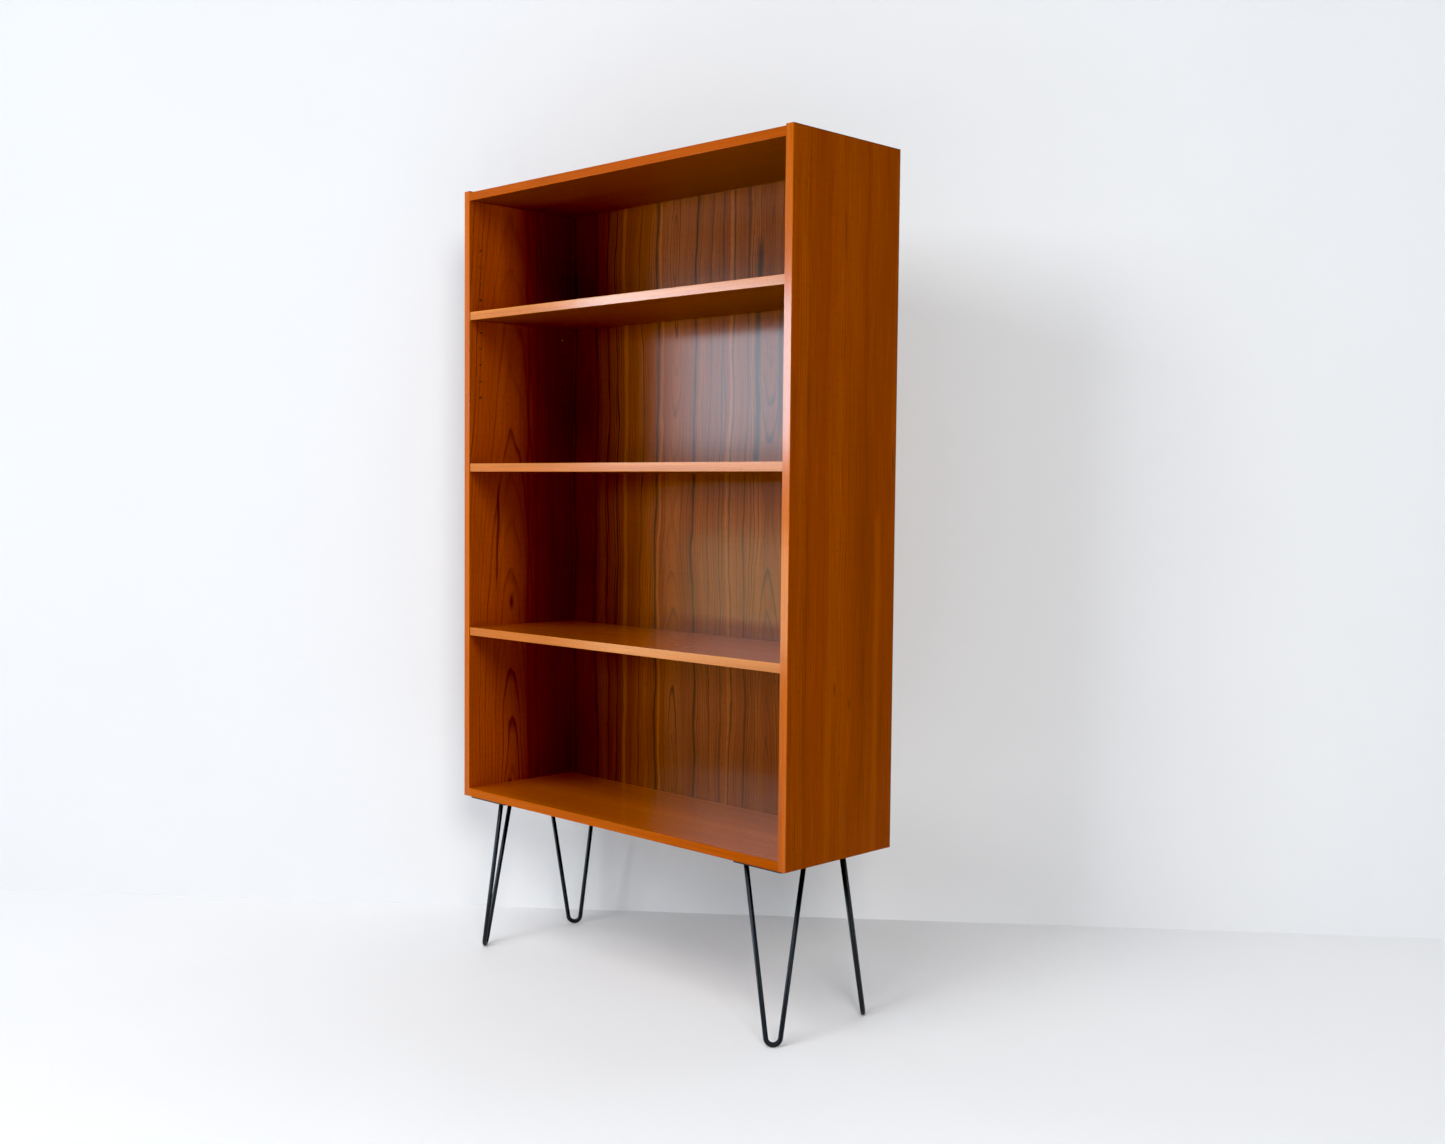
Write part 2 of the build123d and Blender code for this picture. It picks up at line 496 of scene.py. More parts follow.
class Veneer:
    """The shader of one board: veneer on its faces, core at its raw edges.

    Attributes:
        SKIN: The thickness of the veneer.
        ARRIS: The width of the dark line beside an edge.
        ARRIS_SHADE: How dark that line is.
        UNDERSIDE_SHADE: How much darker an underside is painted, as painted shade.
        OUTSIDE_SHADE: How much darker the left side's outer face is painted, as painted shade.
        REAR_SHADE: How much darker the rear of the left side is painted, as painted shade.
        REAR_SPAN: From where to where across the grain it darkens.
        RING_EDGE: Where in each growth ring its dark line starts, is fullest and ends.
        RELIEF: The depth of the pores and fibres.
        FADE: The length over which a streak's ends fade.
        KNOT_PULL: How strongly a knot bends the grain.
    """

    SKIN = 0.7 * MM
    ARRIS = 2.2 * MM
    ARRIS_SHADE = 0.85
    UNDERSIDE_SHADE = 0.62
    OUTSIDE_SHADE = 0.35
    REAR_SHADE = 0.48
    REAR_SPAN = (-0.06, 0.08)
    RING_EDGE = (0.62, 0.93, 1.0)
    RELIEF = 0.05 * MM
    FADE = 0.05
    KNOT_PULL = 0.75

    SLOW_STRAY = Pattern(5.0, 1.6, 0.0, detail=1.0)
    QUICK_STRAY = Pattern(22.0, 7.0, 3.0)
    SWELL = Pattern(7.0, 3.5, 5.0, detail=1.5)
    RIPPLE = Pattern(40.0, 2.0, 7.0)
    BANDS = Pattern(26.0, 0.6, 11.0, detail=3.0, roughness=0.6)
    BROAD = Pattern(11.0, 1.1, 13.0, detail=1.0)
    FIBRE = Pattern(900.0, 9.0, 17.0)
    THREAD = Pattern(210.0, 2.2, 19.0)
    PORES = Pattern(1700.0, 75.0, 23.0, detail=0.0)

    def __init__(self, name: str, grain: Grain, figure: Figure, teak: Teak, seed: float) -> None:
        """Starts the material of one board.

        Args:
            name: The material's name.
            grain: How the board lies.
            figure: How its veneer was cut.
            teak: Its colours and lacquer.
            seed: Sets its pattern apart from those of other boards.
        """
        self.material = Material(name)
        self.figure = figure
        self.teak = teak
        self.seed = seed
        place = self.material.place()
        self.along, self.across, self.through = (place[axis] for axis in grain.value)

    def _noise(self, pattern: Pattern, across: Number) -> Number:
        """One of the patterns, from 0 to 1.

        Args:
            pattern: The pattern.
            across: The place across the grain.

        Returns:
            The noise.
        """
        return self.material.noise(
            across * pattern.across,
            self.along * pattern.along,
            self.seed + pattern.seed,
            pattern.detail,
            pattern.roughness,
        )

    def _strayed(self) -> Number:
        """The place across the grain, as it strays sideways."""
        slow = self._noise(self.SLOW_STRAY, self.across) - 0.5
        quick = self._noise(self.QUICK_STRAY, self.across) - 0.5
        strayed = self.across + slow * self.figure.wander + quick * self.figure.wave
        for knot in self.figure.knots:
            reach = self._reach(knot)
            side = self.across - knot.across
            strayed = strayed - side * reach.ease(3.2, 0.4) * self.KNOT_PULL
        return strayed

    def _reach(self, knot: Knot) -> Number:
        """The distance from a knot, in its own radii."""
        side = (self.across - knot.across) / knot.size
        rise = (self.along - knot.along) / (knot.size * knot.stretch)
        return (side * side + rise * rise).root()

    def _rings(self, strayed: Number) -> Number:
        """The darkness of the growth rings, from 0 to 1."""
        figure = self.figure
        shifted = (strayed - (figure.centre - figure.leaf / 2)) / figure.leaf
        leaf = shifted.whole()
        local = (shifted - leaf - 0.5) * figure.leaf
        swell = self._noise(self.SWELL, leaf) - 0.5
        depth = swell * (figure.ring * 1.6) + figure.depth
        if figure.taper:
            depth = depth + (self.along - figure.waist_at) * figure.taper
        if figure.waist:
            rise = self.along - figure.waist_at
            depth = depth - (rise * rise + 0.002).root() * figure.waist
        radius = (local * local + depth * depth).root()
        ripple = self._noise(self.RIPPLE, strayed) - 0.5
        phase = radius / figure.ring + ripple * 0.9
        number = phase.whole()
        part = phase - number
        tone = self.material.chance(number, leaf + self.seed)
        low, peak, end = self.RING_EDGE
        return part.ease(low, peak) * part.ease(end, peak) * (tone * tone * 0.75 + 0.25)

    def _streaks(self, strayed: Number) -> tuple[Optional[Number], Optional[Number]]:
        """The darkness and the paleness of the board's own lines."""
        dark: Optional[Number] = None
        pale: Optional[Number] = None
        for streak in self.figure.streaks:
            line = abs(strayed - streak.across).ease(streak.width, streak.width * 0.15)
            if streak.start > -FAR:
                fade = min(self.FADE, (streak.end - streak.start) / 2)
                line = line * self.along.ease(streak.start, streak.start + fade)
                line = line * self.along.ease(streak.end, streak.end - fade)
            line = line * streak.strength
            if streak.pale:
                pale = line if pale is None else pale.most(line)
            else:
                dark = line if dark is None else dark.most(line)
        return dark, pale

    def surface(self) -> Surface:
        """The veneer's colour, roughness and relief."""
        make, teak = self.material, self.teak
        strayed = self._strayed()
        rings = self._rings(strayed)
        bands = self._noise(self.BANDS, strayed)
        broad = self._noise(self.BROAD, strayed)
        fibre = self._noise(self.FIBRE, strayed)
        thread = self._noise(self.THREAD, strayed)
        pores = self._noise(self.PORES, strayed).ease(0.60, 0.74) * (bands * 0.6 + 0.4)
        lines = thread.ease(0.74 - 0.12 * teak.lines, 0.86 - 0.12 * teak.lines)
        colour = make.tint(teak.body).towards(teak.pale, bands.ease(0.38, 0.68) * teak.bands)
        colour = colour.towards(teak.dark, broad.ease(0.52, 0.25) * (teak.bands * 0.35))
        colour = colour.towards(teak.dark, rings * teak.rings)
        colour = colour.towards(teak.dark, lines * 0.55)
        dark, pale = self._streaks(strayed)
        if pale is not None:
            colour = colour.towards(teak.pale, pale)
        if dark is not None:
            colour = colour.towards(teak.dark, dark)
        for knot in self.figure.knots:
            colour = colour.towards(teak.dark, self._reach(knot).ease(1.1, 0.2) * 0.9)
        colour = colour.towards(teak.dark, pores * 0.5)
        colour = colour.lit((fibre - 0.5) * (2.0 * teak.fibres) + (thread - 0.5) * teak.fibres + 1.0)
        roughness = teak.roughness + pores * 0.12 + (fibre - 0.5) * 0.06
        relief = fibre * 0.35 - pores - rings * 0.2
        return Surface(
            colour,
            roughness,
            relief,
            self.RELIEF,
            coat=teak.coat,
            coat_roughness=teak.coat_roughness,
            specular=teak.specular,
            metallic=teak.sheen_of_fibres,
        )

    def darken_arrises(self, surface: Surface, edges: Iterable[tuple[Number, float]]) -> None:
        """Darkens a thin line beside some of the board's edges.

        Args:
            surface: The surface to change.
            edges: For each edge, the coordinate that is measured and the edge's place on it.
        """
        for coordinate, edge in edges:
            line = abs(coordinate - edge).ease(self.ARRIS, 0.3 * self.ARRIS)
            surface.colour = surface.colour.towards(self.teak.dark, line * self.ARRIS_SHADE)

    def darken_low_face(self, surface: Surface, low: float, shade: float) -> None:
        """Darkens and dulls one face, to deepen the shade that the lamps leave on it.

        Args:
            surface: The surface to change.
            low: The place of the board's lower face, on the axis through it.
            shade: How much darker that face is.
        """
        shaded_face = (low + self.SKIN - self.through).over(0.0)
        surface.colour = surface.colour.lit(1.0 - shaded_face * shade)
        surface.coat = (1.0 - shaded_face) * surface.coat

    def darken_rear(self, surface: Surface) -> None:
        """Darkens a side towards its rear, to deepen the shade that the lamps leave in that corner."""
        painted_shade = self.across.ease(*self.REAR_SPAN) * self.REAR_SHADE
        surface.colour = surface.colour.lit(1.0 - painted_shade)

    def show_core(self, surface: Surface, low: float, high: float, core: Chipboard, ends: float) -> None:
        """Shows the core wherever the surface lies deeper than the veneer.

        Args:
            surface: The surface to change.
            low: The lower face of the board, on the axis through it.
            high: The upper face.
            core: The core's look.
            ends: The height at which a sawn end is covered with veneer, on the axis along the grain.
        """
        make = self.material
        inside = (self.through - low).over(self.SKIN) * (high - self.through).over(self.SKIN)
        bare = inside * (ends - self.along).over(0.2 * MM)
        cell = 1.0 / core.flake
        chips = make.noise(self.across * cell, self.along * cell, self.through * cell, detail=2.0)
        specks = make.noise(self.across * (2.6 * cell), self.along * (2.6 * cell), self.through * cell)
        chip = make.tint(core.body).towards(core.pale, chips.ease(0.45, 0.62))
        chip = chip.towards(core.dark, specks.ease(0.60, 0.72))
        surface.colour = surface.colour.towards(chip, bare)
        surface.roughness = surface.roughness * (1.0 - bare) + bare * core.roughness
        surface.coat = (1.0 - bare) * surface.coat
        surface.relief = surface.relief * (1.0 - bare) + bare * (chips - specks)


TEAK_SIDE = Teak(
    body=rgb(0.262, 0.041, 0.001),
    pale=rgb(0.35, 0.068, 0.002),
    dark=rgb(0.11, 0.016, 0.001),
    specular=0.10,
    rings=0.55,
    bands=0.7,
    fibres=0.46,
    lines=1.0,
    coat=0.05,
)
TEAK_INSIDE = Teak(
    body=rgb(0.40, 0.072, 0.006),
    pale=rgb(0.53, 0.108, 0.009),
    dark=rgb(0.12, 0.020, 0.003),
    specular=0.22,
    rings=0.85,
    bands=0.4,
    fibres=0.34,
    lines=0.7,
    coat=0.12,
)
TEAK_BACK = Teak(
    body=rgb(0.132, 0.024, 0.004),
    pale=rgb(0.215, 0.050, 0.008),
    dark=rgb(0.035, 0.009, 0.003),
    specular=0.04,
    rings=1.0,
    bands=0.50,
    fibres=0.42,
    lines=1.0,
    roughness=0.42,
    sheen_of_fibres=0.20,
    coat=0.22,
    coat_roughness=0.145,
)
TEAK_SHELF = Teak(
    body=rgb(0.48, 0.094, 0.008),
    pale=rgb(0.58, 0.142, 0.014),
    dark=rgb(0.14, 0.022, 0.003),
    specular=0.35,
    rings=0.70,
    bands=0.5,
    fibres=0.30,
    lines=0.85,
    roughness=0.42,
    coat=0.95,
    coat_roughness=0.16,
)
TEAK_LIPPING = Teak(
    body=rgb(0.37, 0.066, 0.001),
    pale=rgb(0.49, 0.110, 0.003),
    dark=rgb(0.28, 0.055, 0.004),
    specular=0.05,
    rings=0.25,
    bands=0.6,
    fibres=0.34,
    lines=0.5,
    roughness=0.42,
    coat=0.42,
    coat_roughness=0.14,
)
TEAK_RAIL_LIPPING = replace(
    TEAK_LIPPING, body=rgb(0.32, 0.054, 0.002), pale=rgb(0.42, 0.090, 0.004), coat=0.10
)
TEAK_SHELF_LIPPING = Teak(
    body=rgb(0.39, 0.100, 0.010),
    pale=rgb(0.54, 0.180, 0.026),
    dark=rgb(0.30, 0.065, 0.008),
    specular=0.08,
    rings=0.25,
    bands=0.6,
    fibres=0.34,
    lines=0.5,
    roughness=0.42,
    coat=0.54,
    coat_roughness=0.14,
)


# ---------------------------------------------------------------------------------------------
# Other finishes
# ---------------------------------------------------------------------------------------------


@dataclass(frozen=True)
class Steel:
    """A painted or plain steel.

    Attributes:
        body: Its colour.
        worn: The colour where it is rubbed.
        metallic: 1 for bare metal and 0 for paint.
        roughness: Its mean roughness.
        speckle: The size of its fine relief in metres.
        relief: The height of that relief in metres.
        specular: How much light it reflects where it is painted.
        worn_below: Below this height the finish is scuffed, in metres.
    """

    body: Colour
    worn: Colour
    metallic: float
    roughness: float
    speckle: float = 0.9 * MM
    relief: float = 0.03 * MM
    specular: float = 0.5
    worn_below: float = -1.0

    def material(self, name: str) -> bpy.types.Material:
        """The steel's material.

        Args:
            name: The material's name.

        Returns:
            The material.
        """
        make = Material(name)
        place = make.place()
        cell = 1.0 / self.speckle
        fine = make.noise(place["X"] * cell, place["Y"] * cell, place["Z"] * cell, detail=2.0)
        broad = make.noise(place["X"] * 60.0, place["Y"] * 60.0, place["Z"] * 25.0, detail=3.0)
        scuff = broad.ease(0.58, 0.74) * 0.5
        if self.worn_below > 0.0:
            low = place["Z"] + (broad - 0.5) * (self.worn_below * 1.2)
            scuff = scuff.most(low.ease(self.worn_below, 0.25 * self.worn_below) * 0.8)
        colour = make.tint(self.body).towards(self.worn, scuff)
        roughness = self.roughness + (broad - 0.5) * 0.2 + scuff * 0.12
        surface = Surface(
            colour,
            roughness,
            fine,
            self.relief,
            metallic=self.metallic,
            specular=self.specular,
        )
        return make.finish(surface)


BLACK_ENAMEL = Steel(
    body=rgb(0.006, 0.007, 0.018),
    worn=rgb(0.022, 0.022, 0.022),
    metallic=0.0,
    roughness=0.40,
    specular=0.30,
    worn_below=7.0 * MM,
)
BLACK_SCREW = Steel(rgb(0.020, 0.020, 0.022), rgb(0.16, 0.15, 0.14), metallic=0.6, roughness=0.4)
NAIL_STEEL = Steel(rgb(0.42, 0.40, 0.37), rgb(0.20, 0.11, 0.06), metallic=1.0, roughness=0.45)
PIN_STEEL = Steel(rgb(0.60, 0.58, 0.54), rgb(0.38, 0.36, 0.33), metallic=1.0, roughness=0.32)


@dataclass(frozen=True)
class Beech:
    """Pale fluted beech, for the dowels."""

    body: Colour = rgb(0.58, 0.38, 0.20)
    fleck: Colour = rgb(0.36, 0.19, 0.085)
    fleck_across: float = 2400.0
    fleck_along: float = 340.0

    def material(self, name: str) -> bpy.types.Material:
        """The beech's material, with its grain along X.

        Args:
            name: The material's name.

        Returns:
            The material.
        """
        make = Material(name)
        place = make.place()
        along, across, up = place["X"], place["Y"], place["Z"]
        fleck = make.noise(across * self.fleck_across, along * self.fleck_along, up * self.fleck_across)
        tone = make.noise(across * 300.0, along * 25.0, up * 300.0, detail=3.0)
        colour = make.tint(self.body).towards(self.fleck, fleck.ease(0.6, 0.75))
        colour = colour.lit(tone * 0.5 + 0.75)
        return make.finish(Surface(colour, 0.62 + tone * 0.1, tone - fleck, 0.04 * MM))


@dataclass(frozen=True)
class PlainPly:
    """The unfinished rear face of the plywood back."""

    body: Colour = rgb(0.40, 0.235, 0.125)
    pale: Colour = rgb(0.52, 0.335, 0.195)
    dark: Colour = rgb(0.22, 0.115, 0.055)
    roughness: float = 0.68


# ---------------------------------------------------------------------------------------------
# Geometry trees
# ---------------------------------------------------------------------------------------------


class Shaper(Tree):
    """A Geometry Nodes tree with named inputs, used once and then turned into a plain mesh."""

    def __init__(self, name: str) -> None:
        """Makes a tree that takes and gives geometry.

        Args:
            name: The tree's name.
        """
        self.group = bpy.data.node_groups.new(name, "GeometryNodeTree")
        super().__init__(self.group)
        self.group.interface.new_socket("Geometry", in_out="INPUT", socket_type="NodeSocketGeometry")
        self.group.interface.new_socket("Geometry", in_out="OUTPUT", socket_type="NodeSocketGeometry")
        self.entry = self.tree.nodes.new("NodeGroupInput")

    def takes(self, name: str, kind: str) -> Link:
        """Adds a named input.

        Args:
            name: The input's name.
            kind: Its socket type, such as NodeSocketFloat.

        Returns:
            The input, to link from.
        """
        self.group.interface.new_socket(name, in_out="INPUT", socket_type=kind)
        return Link(self, self.entry.outputs[name])

    def given(self) -> Link:
        """The geometry that the tree starts from."""
        return Link(self, self.entry.outputs["Geometry"])

    def gives(self, geometry: Link, material: Link) -> None:
        """Ends the tree with real, painted geometry.

        Args:
            geometry: The geometry to give.
            material: The material to paint it with.
        """
        real = self.node("GeometryNodeRealizeInstances", inputs={0: geometry})
        painted = self.node("GeometryNodeSetMaterial", inputs={"Geometry": real, "Material": material})
        self.node("NodeGroupOutput", inputs={0: painted})

    def shape(self, name: str, source: bpy.types.Object, values: dict) -> bpy.types.Object:
        """Runs the tree on an object and keeps the result as a plain mesh.

        Args:
            name: The new piece's name.
            source: The object to start from, which is removed.
            values: The tree's inputs by name.

        Returns:
            The new piece, at the origin.
        """
        modifier = source.modifiers.new("shape", "NODES")
        modifier.node_group = self.group
        for item in self.group.interface.items_tree:
            if item.in_out == "INPUT" and item.name in values:
                modifier[item.identifier] = values[item.name]
        bpy.context.view_layer.update()
        depsgraph = bpy.context.evaluated_depsgraph_get()
        mesh = bpy.data.meshes.new_from_object(source.evaluated_get(depsgraph), depsgraph=depsgraph)
        source.modifiers.remove(modifier)
        bpy.data.objects.remove(source)
        mesh.name = name
        piece = bpy.data.objects.new(name, mesh)
        bpy.context.scene.collection.objects.link(piece)
        return piece


def bar_tree() -> Shaper:
    """A round bar along a curve.

    Returns:
        The tree, with inputs Radius, Sides and Material.
    """
    tree = Shaper("bar_along_curve")
    radius = tree.takes("Radius", "NodeSocketFloat")
    sides = tree.takes("Sides", "NodeSocketInt")
    material = tree.takes("Material", "NodeSocketMaterial")
    section = tree.node(
        "GeometryNodeCurvePrimitiveCircle", inputs={"Resolution": sides, "Radius": radius}
    )
    bar = tree.node(
        "GeometryNodeCurveToMesh",
        inputs={"Curve": tree.given(), "Profile Curve": section, "Fill Caps": True},
    )
    smooth = tree.node("GeometryNodeSetShadeSmooth", inputs={0: bar})
    tree.gives(smooth, material)
    return tree


def bead_tree() -> Shaper:
    """A rippled weld bead round a bar at each point of a mesh.

    Returns:
        The tree, with inputs Ring, Bead, Ripple and Material.
    """
    tree = Shaper("weld_beads")
    ring = tree.takes("Ring", "NodeSocketFloat")
    bead = tree.takes("Bead", "NodeSocketFloat")
    ripple = tree.takes("Ripple", "NodeSocketFloat")
    material = tree.takes("Material", "NodeSocketMaterial")
    path = tree.node("GeometryNodeCurvePrimitiveCircle", inputs={"Resolution": 56, "Radius": ring})
    section = tree.node(
        "GeometryNodeCurvePrimitiveCircle", inputs={"Resolution": 12, "Radius": bead}
    )
    torus = tree.node("GeometryNodeCurveToMesh", inputs={"Curve": path, "Profile Curve": section})
    points = tree.node("GeometryNodeMeshToPoints", inputs={"Mesh": tree.given()})
    beads = tree.node("GeometryNodeInstanceOnPoints", inputs={"Points": points, "Instance": torus})
    real = tree.node("GeometryNodeRealizeInstances", inputs={0: beads})
    rough = tree.node(
        "ShaderNodeTexNoise", inputs={"Scale": 420.0, "Detail": 1.0}, output="Color"
    )
    centred = tree.node(
        "ShaderNodeVectorMath", {"operation": "SUBTRACT"}, {0: rough, 1: (0.5, 0.5, 0.5)}
    )
    shift = tree.node("ShaderNodeVectorMath", {"operation": "SCALE"}, {0: centred, 3: ripple})
    moved = tree.node("GeometryNodeSetPosition", inputs={"Geometry": real, "Offset": shift})
    smooth = tree.node("GeometryNodeSetShadeSmooth", inputs={0: moved})
    tree.gives(smooth, material)
    return tree


def scatter_tree() -> Shaper:
    """A copy of one object at each point of a mesh.

    Returns:
        The tree, with inputs Part, Tilt, Spin, Seed and Material.
    """
    tree = Shaper("hardware_on_points")
    part = tree.takes("Part", "NodeSocketObject")
    tilt = tree.takes("Tilt", "NodeSocketVector")
    spin = tree.takes("Spin", "NodeSocketFloat")
    seed = tree.takes("Seed", "NodeSocketInt")
    material = tree.takes("Material", "NodeSocketMaterial")
    points = tree.node("GeometryNodeMeshToPoints", inputs={"Mesh": tree.given()})
    model = tree.node(
        "GeometryNodeObjectInfo", {"transform_space": "ORIGINAL"}, {"Object": part}, output="Geometry"
    )
    turn = tree.node(
        "FunctionNodeRandomValue",
        {"data_type": "FLOAT"},
        {2: 0.0, 3: spin, "Seed": seed},
        output=1,
    )
    about = tree.node("ShaderNodeCombineXYZ", inputs={2: turn})
    spun = tree.node(
        "GeometryNodeInstanceOnPoints",
        inputs={"Points": points, "Instance": model, "Rotation": about},
    )
    tilted = tree.node(
        "GeometryNodeRotateInstances",
        inputs={"Instances": spun, "Rotation": tilt, "Local Space": True},
    )
    tree.gives(tilted, material)
    return tree


# ---------------------------------------------------------------------------------------------
# Mesh helpers
# ---------------------------------------------------------------------------------------------


def dots(name: str, places: Sequence[Sequence[float]]) -> bpy.types.Object:
    """A mesh of loose points.

    Args:
        name: The object's name.
        places: The points, in metres.

    Returns:
        The object.
    """
    mesh = bpy.data.meshes.new(name)
    mesh.from_pydata([tuple(place) for place in places], [], [])
    made = bpy.data.objects.new(name, mesh)
    bpy.context.scene.collection.objects.link(made)
    return made


def centreline(name: str, places: Sequence[Sequence[float]]) -> bpy.types.Object:
    """A curve of straight runs through some points.

    Args:
        name: The object's name.
        places: The points, in metres.

    Returns:
        The curve object.
    """
    curve = bpy.data.curves.new(name, "CURVE")
    curve.dimensions = "3D"
    line = curve.splines.new("POLY")
    line.points.add(len(places) - 1)
    for point, place in zip(line.points, places):
        point.co = (*place, 1.0)
    made = bpy.data.objects.new(name, curve)
    bpy.context.scene.collection.objects.link(made)
    return made


def turned(name: str, outline: Sequence[tuple[float, float]], sides: int) -> bpy.types.Object:
    """A closed shape turned about Z.

    Args:
        name: The object's name.
        outline: Radius and height of each step of its outline, from one end to the other.
        sides: How many faces go round it.

    Returns:
        The object.
    """
    mesh = bpy.data.meshes.new(name)
    shape = bmesh.new()
    rings = []
    for radius, height in outline:
        turns = (2.0 * math.pi * step / sides for step in range(sides))
        rings.append(
            [shape.verts.new((radius * math.cos(a), radius * math.sin(a), height)) for a in turns]
        )
    for lower, upper in zip(rings, rings[1:]):
        for step in range(sides):
            after = (step + 1) % sides
            shape.faces.new((lower[step], lower[after], upper[after], upper[step]))
    shape.faces.new(list(reversed(rings[0])))
    shape.faces.new(rings[-1])
    bmesh.ops.recalc_face_normals(shape, faces=shape.faces)
    shape.to_mesh(mesh)
    shape.free()
    made = bpy.data.objects.new(name, mesh)
    bpy.context.scene.collection.objects.link(made)
    return made


def shade_by_angle(piece: bpy.types.Object, degrees: float = 35.0) -> None:
    """Smooths a piece's faces, and keeps its sharp edges.

    Args:
        piece: The piece.
        degrees: The least angle of an edge that stays sharp.
    """
    mesh = piece.data
    shape = bmesh.new()
    shape.from_mesh(mesh)
    bmesh.ops.remove_doubles(shape, verts=shape.verts, dist=1e-6)
    for edge in shape.edges:
        edge.smooth = len(edge.link_faces) == 2 and edge.calc_face_angle() < math.radians(degrees)
    for face in shape.faces:
        face.smooth = True
    shape.to_mesh(mesh)
    shape.free()


def dress(node: str, material: bpy.types.Material) -> None:
    """Gives a board from the frame its material.

    Args:
        node: The frame's node.
        material: The material.
    """
    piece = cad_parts[node]
    piece.data.materials.clear()
    piece.data.materials.append(material)
    LOG.info("%s: %s", node, material.name)


def settle(piece: bpy.types.Object, nodes: Sequence[str], body: str) -> None:
    """Hands a finished piece to the frame.

    Args:
        piece: The finished piece.
        nodes: The frame's nodes that it stands for.
        body: The body that it rides on.
    """
    if nodes:
        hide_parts(*nodes)
    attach(piece, body)
    LOG.info("%s: rides on %s, %d faces", piece.name, body, len(piece.data.polygons))


# ---------------------------------------------------------------------------------------------
# The carcass
# ---------------------------------------------------------------------------------------------


